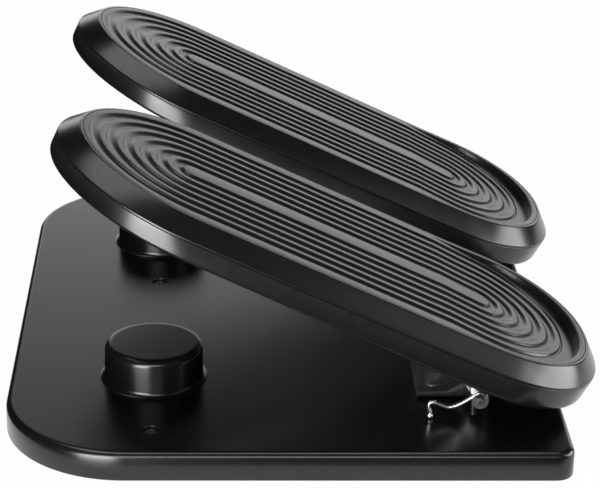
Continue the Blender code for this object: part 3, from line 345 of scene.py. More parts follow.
# %% [markdown]
# A few steps come back in nearly every piece. Each of them gets a short name here, with the
# settings that never change, so that the shapes below read as what is done to them.

# %% Small tools for a bmesh
def split(geometry, kind):
    """Items of one kind out of an operator's result."""
    return [item for item in geometry if isinstance(item, kind)]


def move(bm, verts, x=0.0, y=0.0, z=0.0):
    """Shift some vertices."""
    bmesh.ops.translate(bm, vec=(x, y, z), verts=verts)


def block(middle, size):
    """Plain box."""
    bm = bmesh.new()
    bmesh.ops.create_cube(bm, size=1.0)
    bmesh.ops.scale(bm, vec=size, verts=bm.verts)
    bmesh.ops.translate(bm, vec=middle, verts=bm.verts)
    return bm


def line(bm, points, closed=False):
    """New vertices in a row or a loop, and the edges that join them."""
    verts = [bm.verts.new(point) for point in points]
    following = verts[1:] + verts[:1] if closed else verts[1:]
    return verts, [bm.edges.new(pair) for pair in zip(verts, following)]


def round_edges(bm, edges, radius, steps):
    """Round edges off with an arc."""
    bmesh.ops.bevel(bm, geom=edges, offset=radius, segments=steps, profile=0.5,
                    affect="EDGES", material=-1)


def cut_across(bm, place, normal):
    """Add the edges in which a plane cuts the mesh, so that it can bend there."""
    bmesh.ops.bisect_plane(bm, geom=bm.verts[:] + bm.edges[:] + bm.faces[:], dist=MERGE,
                           plane_co=place, plane_no=normal)


def thicken(bm, thickness):
    """Extrude a flat sheet at height zero to a thickness, half on each side."""
    raised = bmesh.ops.extrude_face_region(bm, geom=bm.faces[:])["geom"]
    move(bm, split(raised, bmesh.types.BMVert), z=thickness)
    move(bm, bm.verts, z=-thickness / 2)


# %% [markdown]
# ## Sections
# Most of these parts are one section carried round a path. A section is written as its sharp
# corners, each with the radius that the tool leaves on it, as on a workshop drawing. `soften` puts
# the arcs in. A pedal's section also says how far it reaches at the heel tip, which is blunter than
# the toe, and how much it follows the dish of the deck, the slope of the sole and the shift of the
# ribbed field.

# %% Round the corners of a section
Ring = namedtuple("Ring", "side height heel dish sole shift", defaults=(0.0, 0.0, 0.0, 0.0))


def corner(reach, height, rounding=0.0, out=0.0, **follows):
    """Corner of a pedal's section, from its reach to the side and to the heel tip."""
    side, heel = reach
    return Ring(side + out, height, heel + out, **follows), rounding


def part_way(start, end, share):
    """Ring between two others."""
    return Ring(*[a + (b - a) * share for a, b in zip(start, end)])


def soften(corners, steps=5):
    """Replace each sharp corner that has a radius by an arc that touches both of its sides."""
    rings = []
    for number, (ring, radius) in enumerate(corners):
        if radius == 0:
            rings.append(ring)
            continue
        before = corners[number - 1][0]
        after = corners[number + 1][0]
        back = Vector((before.side - ring.side, before.height - ring.height))
        ahead = Vector((after.side - ring.side, after.height - ring.height))
        turn = math.pi - back.angle(ahead)
        cut = radius * math.tan(turn / 2)
        start = part_way(ring, before, cut / back.length)
        end = part_way(ring, after, cut / ahead.length)
        weight = math.cos(turn / 2)
        for step in range(steps + 1):
            t = step / steps
            a, b, c = (1 - t) ** 2, 2 * t * (1 - t) * weight, t * t
            rings.append(Ring(*[(a * p + b * q + c * r) / (a + b + c)
                                for p, q, r in zip(start, ring, end)]))
    return rings


def plain(corners, steps):
    """Softened section as plain (radius, height) pairs."""
    rings = soften([(Ring(radius, height), bend) for radius, height, bend in corners], steps)
    return [(ring.side, ring.height) for ring in rings]


# %% [markdown]
# ## Flat faces with openings
# Screw recesses and round stops grow out of a flat face. The face is taken away, circles are laid
# in its place, and `triangle_fill` fills what lies between the outline and the circles. Each circle
# is then pulled up or down through the radii of its own section, so wall and face are one surface.

# %% Fill a flat face round its openings, and pull an opening into shape
def rim_circle(bm, place, radius, steps):
    """Loose round loop of edges."""
    ring = bmesh.ops.create_circle(bm, radius=radius, segments=steps,
                                   matrix=Matrix.Translation(place))
    return list(dict.fromkeys(edge for vert in ring["verts"] for edge in vert.link_edges))


def fill_between(bm, outline, rims):
    """Flat faces between an outline and the round loops inside it."""
    edges = list(outline) + [edge for rim in rims for edge in rim]
    bmesh.ops.triangle_fill(bm, edges=edges, use_beauty=True)


def pull_rim(bm, rim, centre, section):
    """Carry a round loop through (radius, height) steps, and close the last one."""
    around = Matrix.Translation((-centre.x, -centre.y, 0.0))
    for radius, height in section:
        grown = bmesh.ops.extrude_edge_only(bm, edges=rim)["geom"]
        rim, verts = split(grown, bmesh.types.BMEdge), split(grown, bmesh.types.BMVert)
        growth = radius / (verts[0].co.xy - centre.xy).length
        bmesh.ops.scale(bm, vec=(growth, growth, 1.0), space=around, verts=verts)
        move(bm, verts, z=centre.z + height - verts[0].co.z)
    bmesh.ops.edgeloop_fill(bm, edges=rim)


def open_face(bm, outline, openings):
    """Fill a flat face round openings, each with its place, its section and its steps."""
    rims = [rim_circle(bm, place, section[0][0], steps) for place, section, steps in openings]
    fill_between(bm, outline, rims)
    for rim, (place, section, _) in zip(rims, openings):
        pull_rim(bm, rim, place, section[1:])


def flat_sheet(outline, holes):
    """Flat faces inside an outline of (x, y) pairs, round holes of (x, y, radius, steps)."""
    bm = bmesh.new()
    _, edges = line(bm, [(x, y, 0.0) for x, y in outline], closed=True)
    fill_between(bm, edges, [rim_circle(bm, (x, y, 0.0), radius, steps)
                             for x, y, radius, steps in holes])
    return bm


# %% [markdown]
# ## Turned parts
# Feet, pins, bushes and screws are turned: half of their section is spun once round its axis. A
# full spin needs `use_merge`, so that its last step closes on its first.

# %% Spin a section round the Z axis
def turn_section(section, steps):
    """Closed solid of revolution from (radius, height) pairs, top to bottom."""
    bm = bmesh.new()
    verts, edges = line(bm, [(radius, 0.0, height) for radius, height in section])
    bmesh.ops.spin(bm, geom=verts + edges, axis=(0.0, 0.0, 1.0), cent=(0.0, 0.0, 0.0),
                   angle=math.tau, steps=steps, use_merge=True)
    bmesh.ops.remove_doubles(bm, verts=bm.verts, dist=MERGE)
    return bm


# %% [markdown]
# ## Tray
# The tray is a low block with two large corners at the toe side and two small ones at the heel
# side. Bevel rounds the upright edges first, because a bevel of the top edge then runs round them
# in one sweep.

# %% Block with rounded uprights and a soft top edge
TOE_CORNER, TOE_CORNER_STEPS = 0.066, 28
HEEL_CORNER, HEEL_CORNER_STEPS = 0.010, 10
TOP_EDGE, TOP_EDGE_STEPS = 0.0035, 8
BOTTOM_EDGE = 0.0005


def round_block(low, high, trim=0.0):
    """Upright block with large corners at -X and small corners at +X, less a trim."""
    bm = block((high + low) / 2, high - low)
    for end, radius, steps in ((low.x, TOE_CORNER - trim, TOE_CORNER_STEPS),
                               (high.x, HEEL_CORNER - trim, HEEL_CORNER_STEPS)):
        uprights = [edge for edge in bm.edges
                    if abs(edge.verts[0].co.z - edge.verts[1].co.z) > (high.z - low.z) / 2
                    and abs(edge.verts[0].co.y) > high.y - MERGE
                    and abs(edge.verts[0].co.x - end) < MERGE]
        round_edges(bm, uprights, radius, steps)
    return bm


def face_at(bm, height):
    """Largest level face at a height."""
    return max((face for face in bm.faces if abs(face.calc_center_median().z - height) < MERGE),
               key=lambda face: face.calc_area())


def edges_at(bm, height):
    """Edges that lie wholly at a height."""
    return [edge for edge in bm.edges
            if all(abs(vert.co.z - height) < MERGE for vert in edge.verts)]


def clear_face(bm, face):
    """Take a face away and return the loop of edges round the hole."""
    outline = list(face.edges)
    bmesh.ops.delete(bm, geom=[face], context="FACES_ONLY")
    return outline


tray = round_block(TRAY_LOW, Vector((TRAY_HIGH.x, TRAY_HIGH.y, TRAY_TOP)))
round_edges(tray, edges_at(tray, TRAY_TOP), TOP_EDGE, TOP_EDGE_STEPS)
round_edges(tray, edges_at(tray, TRAY_BOTTOM), BOTTOM_EDGE, 2)
print("tray outline:", len(face_at(tray, TRAY_TOP).verts), "corners round its top face")

# %% [markdown]
# The top is opened in ten places. The two stops are round drums with a soft top edge and a small
# flare where they meet the tray. The four recesses beside them sink the heads of the screws that
# hold the bottom cover. The four pegs stand under the coils of the springs. A narrow flat band is
# left round the top, so that its shading stays even beside the rounded edge.

# %% Stops, recesses and pegs
STOP_LEAD = 0.0048
STOP_X = HINGE.x + TOE_CENTRE + STOP_LEAD
STOP_RADIUS, STOP_FLARE = 0.0268, 0.0303
STOP_HEIGHT = 0.0209
STOP_EDGE, FLARE_ROUND = 0.0038, 0.0029
STOP_FLAT = 0.0215
RECESS_FROM_STOP = 0.063612
RECESS_RADIUS = 0.0045
RECESS_DEPTH = 0.0036
SCREW_HOLE = 0.0019
COIL_OUTER_PLACE = 0.05055
COIL_INNER_PLACE = 0.0397
PEG_RADIUS = 0.0017
PEG_BEHIND = 0.0025
PEG_HEIGHT = 0.0063
TOP_BAND = 0.0006

stop_places = [Vector((STOP_X, side * HALF_SPACING, TRAY_TOP)) for side, _ in SIDES]
recess_places = [place + Vector((0.0, hand * RECESS_FROM_STOP, 0.0))
                 for place in stop_places for hand in HANDS]
peg_middle = (COIL_OUTER_PLACE + COIL_INNER_PLACE) / 2
peg_places = [Vector((HINGE.x - PEG_BEHIND, side * HALF_SPACING + hand * peg_middle, TRAY_TOP))
              for side, _ in SIDES for hand in HANDS]
stop_section = plain([(STOP_FLARE, 0.0, 0.0), (STOP_FLARE - 0.0003, 0.0, 0.0),
                      (STOP_RADIUS + 0.0004, 0.0, FLARE_ROUND),
                      (STOP_RADIUS, STOP_HEIGHT, STOP_EDGE), (STOP_FLAT, STOP_HEIGHT, 0.0),
                      (STOP_FLAT - 0.001, STOP_HEIGHT, 0.0)], 7)
recess_section = plain([(RECESS_RADIUS + 0.0009, 0.0, 0.0), (RECESS_RADIUS, 0.0, 0.0005),
                        (RECESS_RADIUS, -RECESS_DEPTH, 0.0003),
                        (SCREW_HOLE, -RECESS_DEPTH, 0.0)], 4)
peg_section = plain([(PEG_RADIUS + 0.0012, 0.0, 0.0), (PEG_RADIUS, 0.0, 0.0008),
                     (PEG_RADIUS, PEG_HEIGHT, 0.0004), (0.0008, PEG_HEIGHT, 0.0)], 4)
openings = ([(place, stop_section, 72) for place in stop_places]
            + [(place, recess_section, 32) for place in recess_places]
            + [(place, peg_section, 20) for place in peg_places])
bmesh.ops.inset_region(tray, faces=[face_at(tray, TRAY_TOP)], thickness=TOP_BAND,
                       use_even_offset=True)
open_face(tray, clear_face(tray, face_at(tray, TRAY_TOP)), openings)
print("openings in the tray's top:", len(openings))

# %% [markdown]
# From below, the tray is an open tub. Its bottom face is inset to leave the wall's foot, and the
# rest is pushed up to make room for the cover. It stops under the floors of the screw recesses.

# %% Tub under the tray
RECESS_ROOM = 0.004

tub = face_at(tray, TRAY_BOTTOM)
bmesh.ops.inset_region(tray, faces=[tub], thickness=TRAY_WALL - BOTTOM_EDGE, use_even_offset=True)
pushed = bmesh.ops.extrude_face_region(tray, geom=[tub])["geom"]
bmesh.ops.delete(tray, geom=[tub], context="FACES")
move(tray, split(pushed, bmesh.types.BMVert), z=TRAY_TOP - TRAY_WALL - RECESS_ROOM - TRAY_BOTTOM)
add_piece(tray, "tray", "black_plastic", "base", "base_shell")

# %% [markdown]
# ## Bottom cover and feet
# The cover is a flat plate with the tray's outline, set in with a thin seam all round. Four round
# feet of rubber sit in shallow recesses and lift the tray off the floor by a millimetre and a half.

# %% Bottom cover
COVER_LOW, COVER_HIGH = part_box("base_plate")
FOOT_RECESS = 0.0010
FOOT_RADIUS = 0.012
HOLE_RADIUS = 0.0021
HOLE_DEPTH = 0.0018
foot_places = [sum(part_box(f"foot_pad_{number}"), Vector()) / 2 for number in range(1, 5)]

cover = round_block(COVER_LOW, COVER_HIGH, trim=COVER_LOW.x - TRAY_LOW.x)
round_edges(cover, edges_at(cover, COVER_LOW.z), 0.0004, 2)
seat_radius = FOOT_RADIUS + FIT
foot_section = plain([(FOOT_RADIUS + 0.0009, 0.0, 0.0), (seat_radius, 0.0, 0.0003),
                      (seat_radius, FOOT_RECESS, 0.0002),
                      (FOOT_RADIUS - 0.002, FOOT_RECESS, 0.0)], 3)
hole_section = plain([(HOLE_RADIUS + 0.0009, 0.0, 0.0), (HOLE_RADIUS, 0.0, 0.0003),
                      (HOLE_RADIUS, HOLE_DEPTH, 0.0), (0.0001, HOLE_DEPTH, 0.0)], 3)
openings = [(Vector((place.x, place.y, COVER_LOW.z)), section, steps)
            for places, section, steps in ((foot_places, foot_section, 48),
                                           (recess_places, hole_section, 24))
            for place in places]
open_face(cover, clear_face(cover, face_at(cover, COVER_LOW.z)), openings)
add_piece(cover, "bottom_cover", "black_plastic", "base", "base_plate")

# %% [markdown]
# A foot is turned, with a soft edge and a shallow ring in the face that it stands on.

# %% Rubber feet
RING_DEPTH = 0.0005
foot_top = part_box("foot_pad_1")[1].z
foot_outline = plain([(0.0, foot_top, 0.0), (FOOT_RADIUS, foot_top, 0.0003),
                      (FOOT_RADIUS, 0.0, 0.0006), (0.0095, 0.0, 0.0002),
                      (0.0090, RING_DEPTH, 0.0002), (0.0080, RING_DEPTH, 0.0002),
                      (0.0075, 0.0, 0.0002), (0.0, 0.0, 0.0)], 3)
for number, place in enumerate(foot_places, start=1):
    foot = turn_section(foot_outline, 48)
    move(foot, foot.verts, place.x, place.y)
    add_piece(foot, f"rubber_foot_{number}", "foot_rubber", "base", f"foot_pad_{number}")

# %% [markdown]
# ## Screws
# All screws are the same kind: a domed head with a cross recess, on a plain shank. The head is
# spun first. Its small top disc is then swapped for a four-pointed star, made from a circle of
# eight points of which every second one is pulled in, and the star is sunk into the head.

# %% One screw, standing on its head's underside
SHANK_RADIUS = 0.00175
DISC_SHARE = 0.62
DOME_SHOULDER, DOME_ROUND, HEAD_EDGE = 0.86, 0.5, 0.12
STAR_SHARE = 0.86
STAR_WAIST = 0.36
STAR_FLOOR = 0.6
STAR_DEPTH = 0.55
TURN_STEP = 0.7
TRAY_SCREW = (0.0038, 0.0022, 0.0112)
PEDAL_SCREW = (0.0036, 0.0020, 0.0100)
BRACKET_SCREW = (0.0034, 0.0018, 0.0090)


def make_screw(head_radius, head_height, length):
    """Screw with its head's underside at height zero."""
    disc = head_radius * DISC_SHARE
    dome = plain([(disc, head_height, 0.0),
                  (head_radius, head_height * DOME_SHOULDER, head_height * DOME_ROUND),
                  (head_radius, 0.0, head_height * HEAD_EDGE), (SHANK_RADIUS, 0.0, 0.0),
                  (SHANK_RADIUS, -length, 0.0004), (0.0, -length, 0.0)], 4)
    bm = turn_section(dome, 28)
    open_edges = [edge for edge in bm.edges if len(edge.link_faces) == 1]
    star_edges = rim_circle(bm, (0.0, 0.0, head_height), disc * STAR_SHARE, 8)
    star = list(dict.fromkeys(vert for edge in star_edges for vert in edge.verts))
    inner = [vert for vert in star if min(abs(vert.co.x), abs(vert.co.y)) > disc * 0.2]
    bmesh.ops.scale(bm, vec=(STAR_WAIST, STAR_WAIST, 1.0), verts=inner)
    fill_between(bm, open_edges, [star_edges])
    sunk = bmesh.ops.extrude_edge_only(bm, edges=star_edges)["geom"]
    floor = split(sunk, bmesh.types.BMVert)
    bmesh.ops.scale(bm, vec=(STAR_FLOOR, STAR_FLOOR, 1.0), verts=floor)
    move(bm, floor, z=-head_height * STAR_DEPTH)
    bmesh.ops.edgeloop_fill(bm, edges=split(sunk, bmesh.types.BMEdge))
    return bm


def place_screw(name, matrix, sizes, body, node):
    """Screw turned and moved to its seat."""
    bm = make_screw(*sizes)
    bm.transform(matrix)
    add_piece(bm, name, "dark_steel", body, node)


for number, place in enumerate(recess_places, start=1):
    seat = Matrix.Translation((place.x, place.y, TRAY_TOP - RECESS_DEPTH + FIT))
    place_screw(f"tray_screw_{number}", seat @ Matrix.Rotation(number * TURN_STEP, 4, "Z"),
                TRAY_SCREW, "base", f"base_screw_{number}")

# %% [markdown]
# ## Pedal outline
# A pedal's shells and its mat share one outline: a slightly drawn-out half circle at the toe, two
# straight sides and a blunter end at the heel. The ribbed field lies a little nearer to the toe
# than the rim does, so its rings are shifted at both ends. The deck sinks towards the heel, the
# sole takes its slope, and the whole heel end curves up.

# %% How far the surfaces sink and rise along a pedal
HEEL_BLUNTNESS = 2.14
TOE_STRETCH = 1.09
TOE_SHIFT = 0.0046
HEEL_SHIFT = 0.0070
DISH_LEAD = 0.0300
DISH_START = HEEL_CENTRE - DISH_LEAD
DISH_RUN = 0.0821
DISH_DEPTH = 0.0050
HEEL_LIFT = 0.0036
LIFT_RUN = 0.0968
SOLE_TOE_DROP = 0.0210
SOLE_FALL = 0.0020


def dish_drop(x):
    """How far the deck has sunk at a place along the pedal."""
    return DISH_DEPTH * max(0.0, x - DISH_START) / DISH_RUN


def heel_lift(x):
    """How far the whole pedal curves up at a place near its heel."""
    return HEEL_LIFT * (max(0.0, x - DISH_START) / LIFT_RUN) ** 2


def sole_drop(x):
    """How far the sole lies below its height at the toe."""
    return SOLE_FALL * (x - TOE_CENTRE) / STRAIGHT_RUN


print(f"at the heel centre the deck has sunk {dish_drop(HEEL_CENTRE) * 1000:.1f} mm")

# %% [markdown]
# `spin` carries a section through half a turn, `extrude_edge_only` carries it along the straight,
# and the same again brings it back. The straight is made in steps, so that it can bend where the
# dish begins. Afterwards each point of the heel end is moved out to the blunter curve, and the toe
# end is stretched.

# %% Carry a section round a pedal
END_STEPS = 40
STATIONS = (TOE_CENTRE, TOE_CENTRE / 2, DISH_START, DISH_START + 0.008, DISH_START + 0.016,
            HEEL_CENTRE)


def blunt_heel(vert, ring):
    """Stretch a point of a round heel end onto the blunter outline."""
    along = (vert.co.x - HEEL_CENTRE) / ring.side
    across = vert.co.y / ring.side
    reach = (abs(along) ** HEEL_BLUNTNESS + abs(across) ** HEEL_BLUNTNESS) ** (-1 / HEEL_BLUNTNESS)
    vert.co.x = HEEL_CENTRE + along * reach * ring.heel
    vert.co.y = across * reach * ring.side


def shape_ends(vert, ring):
    """Move a point of the plain round outline to where its ring has it."""
    if ring.side > 0 and vert.co.x > HEEL_CENTRE + MERGE:
        blunt_heel(vert, ring)
    if vert.co.x > HEEL_CENTRE - MERGE:
        vert.co.x -= ring.shift * HEEL_SHIFT
    if vert.co.x < TOE_CENTRE + MERGE:
        stretched = (vert.co.x - TOE_CENTRE) * TOE_STRETCH
        vert.co.x = TOE_CENTRE + stretched - ring.shift * TOE_SHIFT
    vert.co.z -= ring.dish * dish_drop(vert.co.x) + ring.sole * sole_drop(vert.co.x)


def go_round(rings):
    """Section carried once round the pedal's outline, in the pedal's own frame."""
    bm = bmesh.new()
    layer = bm.verts.layers.int.new("ring")
    verts, edges = line(bm, [(TOE_CENTRE, -ring.side, ring.height) for ring in rings])
    for number, vert in enumerate(verts):
        vert[layer] = number
    front = verts + edges
    for centre, stations in ((TOE_CENTRE, STATIONS), (HEEL_CENTRE, STATIONS[::-1])):
        front = bmesh.ops.spin(bm, geom=front, cent=(centre, 0.0, 0.0), axis=(0.0, 0.0, 1.0),
                               angle=-math.pi, steps=END_STEPS)["geom_last"]
        for start, end in zip(stations, stations[1:]):
            edges = split(front, bmesh.types.BMEdge)
            front = bmesh.ops.extrude_edge_only(bm, edges=edges)["geom"]
            front = split(front, bmesh.types.BMEdge) + split(front, bmesh.types.BMVert)
            move(bm, split(front, bmesh.types.BMVert), x=end - start)
    bmesh.ops.remove_doubles(bm, verts=bm.verts, dist=MERGE)
    for vert in bm.verts:
        shape_ends(vert, rings[vert[layer]])
    bmesh.ops.recalc_face_normals(bm, faces=bm.faces)
    return bm


def curve_heel(bm):
    """Curve the heel end up, as a last step, so that flat faces can be filled before it."""
    for vert in bm.verts:
        vert.co.z += heel_lift(vert.co.x)


def pedal_frame(side):
    """Where a pedal's own frame lies: on its hinge axis, tilted toe up."""
    return Matrix.Translation(from_hinge(side)) @ Matrix.Rotation(PEDAL_TILT, 4, "Y")


def pedal_piece(bm, side, name, slot, node):
    """Copy of a pedal part, tilted into place."""
    own = bm.copy()
    own.transform(pedal_frame(side))
    word = dict(SIDES)[side]
    add_piece(own, f"{word}_{name}", slot, f"{word}_pedal", f"{word}_{node}")


# %% [markdown]
# ## Upper shell of a pedal
# The upper shell shows as a narrow rim round the mat, a sloping shoulder, and a short upright edge
# at the parting line. Its deck below the mat is hidden, but it is there, so the part is closed.

# %% Upper shell
MIDDLE = (0.0, 0.0)
EDGE = (0.064905, 0.057605)
WAIST = (0.0732, 0.0668)
POCKET = (0.0636, 0.0563)
PIT = (0.0607, 0.0521)
PIT_SLANT = 0.0002
MAT_THICKNESS = 0.0030
MAT_WALL = 0.0018
SHELL_WALL = 0.0025
WAIST_HEIGHT = RIM_HEIGHT - 0.0100
LAND_TOP = WAIST_HEIGHT + 0.00095
LAND_WIDTH = 0.0040
UNDER_SLOPE = 0.0020
DECK = RIM_HEIGHT - MAT_THICKNESS - FIT
DECK_UNDER = DECK - SHELL_WALL
seam = WAIST_HEIGHT + FIT / 2
back = MAT_WALL + FIT
under = back + SHELL_WALL
upper_section = soften([
    corner(MIDDLE, DECK, dish=1.0),
    corner(PIT, DECK, out=back, dish=1.0),
    corner(PIT, DECK, out=back + PIT_SLANT),
    corner(POCKET, DECK),
    corner(POCKET, RIM_HEIGHT, 0.00012),
    corner(EDGE, RIM_HEIGHT, 0.0015),
    corner(WAIST, LAND_TOP, 0.0014),
    corner(WAIST, seam),
    corner(WAIST, seam, out=-LAND_WIDTH),
    corner(PIT, DECK_UNDER, out=under + UNDER_SLOPE),
    corner(PIT, DECK_UNDER, out=under + PIT_SLANT),
    corner(PIT, DECK_UNDER, out=under, dish=1.0),
    corner(MIDDLE, DECK_UNDER, dish=1.0)])
upper_shell = go_round(upper_section)
curve_heel(upper_shell)
for side, _ in SIDES:
    pedal_piece(upper_shell, side, "upper_shell", "black_plastic", "pedal_cover")

# %% [markdown]
# ## Ribbed mat
# Six grooves run round a middle stripe, one outside the other. The crests between them are narrow
# and the grooves are wide and round, so from a low angle each crest is a thin light with a dark
# band behind it. Towards the heel the whole field sinks below the level band at the edge, and
# leaves the wall of a shallow pit.

# %% Mat
GROOVE_COUNT = 6
GROOVE_PITCH = 0.0089
GROOVE_HALF_TOP = 0.0030
GROOVE_HALF_FLOOR = 0.0013
GROOVE_DEPTH = 0.0011
CREST_ROUND = 0.0008
FLOOR_ROUND = 0.0030
FIELD_REACH = GROOVE_COUNT * GROOVE_PITCH + GROOVE_HALF_TOP
PIT_WALL_ROOM = 0.0004
CROWDING = 0.25
PIT_LIP = ((PIT_SLANT, 0.14), (0.0004, 0.045), (0.0008, 0.0))


def crowd(side):
    """Reach at the heel of a ring of the ribbed field, kept clear of the pit's wall."""
    return min(side, PIT[1] - PIT_WALL_ROOM - CROWDING * max(0.0, FIELD_REACH - side))


def mat_section():
    """Corners of the mat's section from the middle stripe outwards and back underneath."""
    corners = [corner(MIDDLE, RIM_HEIGHT, dish=1.0, shift=1.0)]
    for number in range(1, GROOVE_COUNT + 1):
        for offset, depth, rounding in ((-GROOVE_HALF_TOP, 0.0, CREST_ROUND),
                                        (-GROOVE_HALF_FLOOR, GROOVE_DEPTH, FLOOR_ROUND),
                                        (GROOVE_HALF_FLOOR, GROOVE_DEPTH, FLOOR_ROUND),
                                        (GROOVE_HALF_TOP, 0.0, CREST_ROUND)):
            place = number * GROOVE_PITCH + offset
            corners.append(corner((place, crowd(place)), RIM_HEIGHT - depth, rounding,
                                  dish=1.0, shift=1.0))
    corners.append(corner(PIT, RIM_HEIGHT, dish=1.0))
    corners += [corner(PIT, RIM_HEIGHT, out=out, dish=dish) for out, dish in PIT_LIP]
    underside = RIM_HEIGHT - MAT_THICKNESS
    corners += [
        corner(POCKET, RIM_HEIGHT, 0.0002, out=-FIT),
        corner(POCKET, underside, out=-FIT),
        corner(PIT, underside, out=MAT_WALL + PIT_SLANT),
        corner(PIT, underside, out=MAT_WALL, dish=1.0),
        corner(MIDDLE, underside, dish=1.0)]
    return soften(corners, 4)


mat = go_round(mat_section())
curve_heel(mat)
for side, _ in SIDES:
    pedal_piece(mat, side, "ribbed_mat", "mat_rubber", "pedal_mat")

# %% [markdown]
# ## Lower shell of a pedal
# The lower shell carries the skirt, the flat sole, and two lugs that take the hinge pin. The sole
# is opened for four screw recesses, in the same way as the tray's top, and so is the floor above
# it. Cuts across the heel end let it curve up.

# %% Skirt and sole
SOLE_REACH = (WAIST[0], 0.0656)
SOLE = RIM_HEIGHT - SOLE_TOE_DROP
SOLE_BAND = 0.0045
SOLE_EDGE = 0.0022
SEAM_EDGE = 0.0004
SCREW_STATIONS = (TOE_CENTRE + 0.0100, DISH_START - 0.0110)
SOLE_RECESS, FLOOR_RECESS = (0.0043, 0.0007), (0.0065, 0.0003)
SCREW_HALF_GAUGE = 0.0400
HEAD_DEPTH = 0.0030
HEEL_CUTS, HEEL_CUT_STEP = 9, 0.0110


def head_recess(radius, lead):
    """Section of a screw's recess, from the edge of its opening to the hole in its floor."""
    return [(radius + lead, 0.0), (radius + 0.0002, 0.00015), (radius, 0.0005),
            (radius, HEAD_DEPTH), (SCREW_HOLE, HEAD_DEPTH)]


def height_on_sole(edge):
    """How high an edge lies above the sloping sole."""
    return sum(vert.co.z + sole_drop(vert.co.x) for vert in edge.verts)


seam = WAIST_HEIGHT - FIT / 2
lower_shell = go_round(soften([
    corner(SOLE_REACH, SOLE, out=-SOLE_BAND, sole=1.0),
    corner(SOLE_REACH, SOLE, SOLE_EDGE, sole=1.0),
    corner(WAIST, seam, SEAM_EDGE),
    corner(WAIST, seam, out=-SHELL_WALL),
    corner(SOLE_REACH, SOLE + SHELL_WALL, out=-SHELL_WALL, sole=1.0)], 6))
screw_places = [Vector((x, hand * SCREW_HALF_GAUGE, SOLE - sole_drop(x)))
                for x in SCREW_STATIONS for hand in HANDS]
loops = sorted([edge for edge in lower_shell.edges if len(edge.link_faces) == 1],
               key=height_on_sole)
sole_loop, floor_loop = loops[:len(loops) // 2], loops[len(loops) // 2:]
for loop, lift, recess in ((sole_loop, 0.0, head_recess(*SOLE_RECESS)),
                           (floor_loop, SHELL_WALL, head_recess(*FLOOR_RECESS))):
    open_face(lower_shell, loop, [(place + Vector((0.0, 0.0, lift)), recess, 28)
                                  for place in screw_places])
for number in range(HEEL_CUTS):
    cut_across(lower_shell, (DISH_START + number * HEEL_CUT_STEP, 0.0, 0.0), (1.0, 0.0, 0.0))
curve_heel(lower_shell)
print("screw recesses in a sole:", len(screw_places))

# %% [markdown]
# A lug is a flat cheek with a round end that hangs from the sole round the pin. Its outline is
# filled round the bore, extruded to its thickness, and its edges are bevelled. A web joins the
# two, and a flat foot on each rests on the tray when the pedal is up, so the springs stay wound.

# %% Lugs and web
LUG_INNER = 0.0279
LUG_THICKNESS = 0.0060
LUG_MIDDLE = LUG_INNER + LUG_THICKNESS / 2
LUG_HALF_WIDTH = 0.0140
LUG_ROUND, LUG_ARC = 0.0070, (190, 255)
LUG_EDGE = 0.0003
BUSH_RADIUS = 0.0034
WEB_PLACE = 0.0121
WEB_THICKNESS = 0.0022
WEB_HEIGHT = 0.0067


def arc_points(radius, start, end, steps):
    """Points on an arc about the origin, from one angle in degrees to another."""
    angles = [math.radians(start + (end - start) * step / steps) for step in range(steps + 1)]
    return [(radius * math.cos(angle), radius * math.sin(angle)) for angle in angles]


def from_level(along, height):
    """Pedal-frame place of a point given level, both from the hinge axis."""
    cosine, sine = math.cos(PEDAL_TILT), math.sin(PEDAL_TILT)
    return along * cosine - height * sine, along * sine + height * cosine


def make_lug(outline):
    """Lug from its outline in XZ, with the bush's bore along Y."""
    bm = flat_sheet(outline, [(0.0, 0.0, BUSH_RADIUS + FIT, 32)])
    thicken(bm, LUG_THICKNESS)
    bmesh.ops.recalc_face_normals(bm, faces=bm.faces)
    folds = [edge for edge in bm.edges if len(edge.link_faces) == 2
             and abs(abs(edge.verts[0].co.z) - LUG_THICKNESS / 2) < MERGE
             and abs(edge.verts[0].co.z - edge.verts[1].co.z) < MERGE
             and edge.calc_face_angle() > math.radians(60)]
    round_edges(bm, folds, LUG_EDGE, 2)
    bmesh.ops.rotate(bm, cent=(0.0, 0.0, 0.0), matrix=Matrix.Rotation(math.radians(90), 3, "X"),
                     verts=bm.verts)
    return bm


def join_into(bm, other):
    """Add another bmesh's faces to this one."""
    mesh = bpy.data.meshes.new("joined")
    other.to_mesh(mesh)
    bm.from_mesh(mesh)
    other.free()
    bpy.data.meshes.remove(mesh)


root = SOLE - sole_drop(0.0) + heel_lift(LUG_HALF_WIDTH) + SHELL_WALL / 2
rest_height = FIT - HINGE_HEIGHT
lug_outline = ([(LUG_HALF_WIDTH, root), (-LUG_HALF_WIDTH, root)]
               + arc_points(LUG_ROUND, *LUG_ARC, 12)
               + [from_level(0.0, rest_height), from_level(LUG_ROUND, rest_height)])
for hand in HANDS:
    lug = make_lug(lug_outline)
    move(lug, lug.verts, y=hand * LUG_MIDDLE)
    join_into(lower_shell, lug)
web = block((WEB_PLACE, 0.0, root - WEB_HEIGHT / 2), (WEB_THICKNESS, 2 * LUG_MIDDLE, WEB_HEIGHT))
round_edges(web, web.edges[:], LUG_EDGE, 2)
join_into(lower_shell, web)
for side, _ in SIDES:
    pedal_piece(lower_shell, side, "lower_shell", "black_plastic", "pedal_shell")

# %% [markdown]
# The screws come up from below into each sole, and a flanged bush goes into each lug from outside.

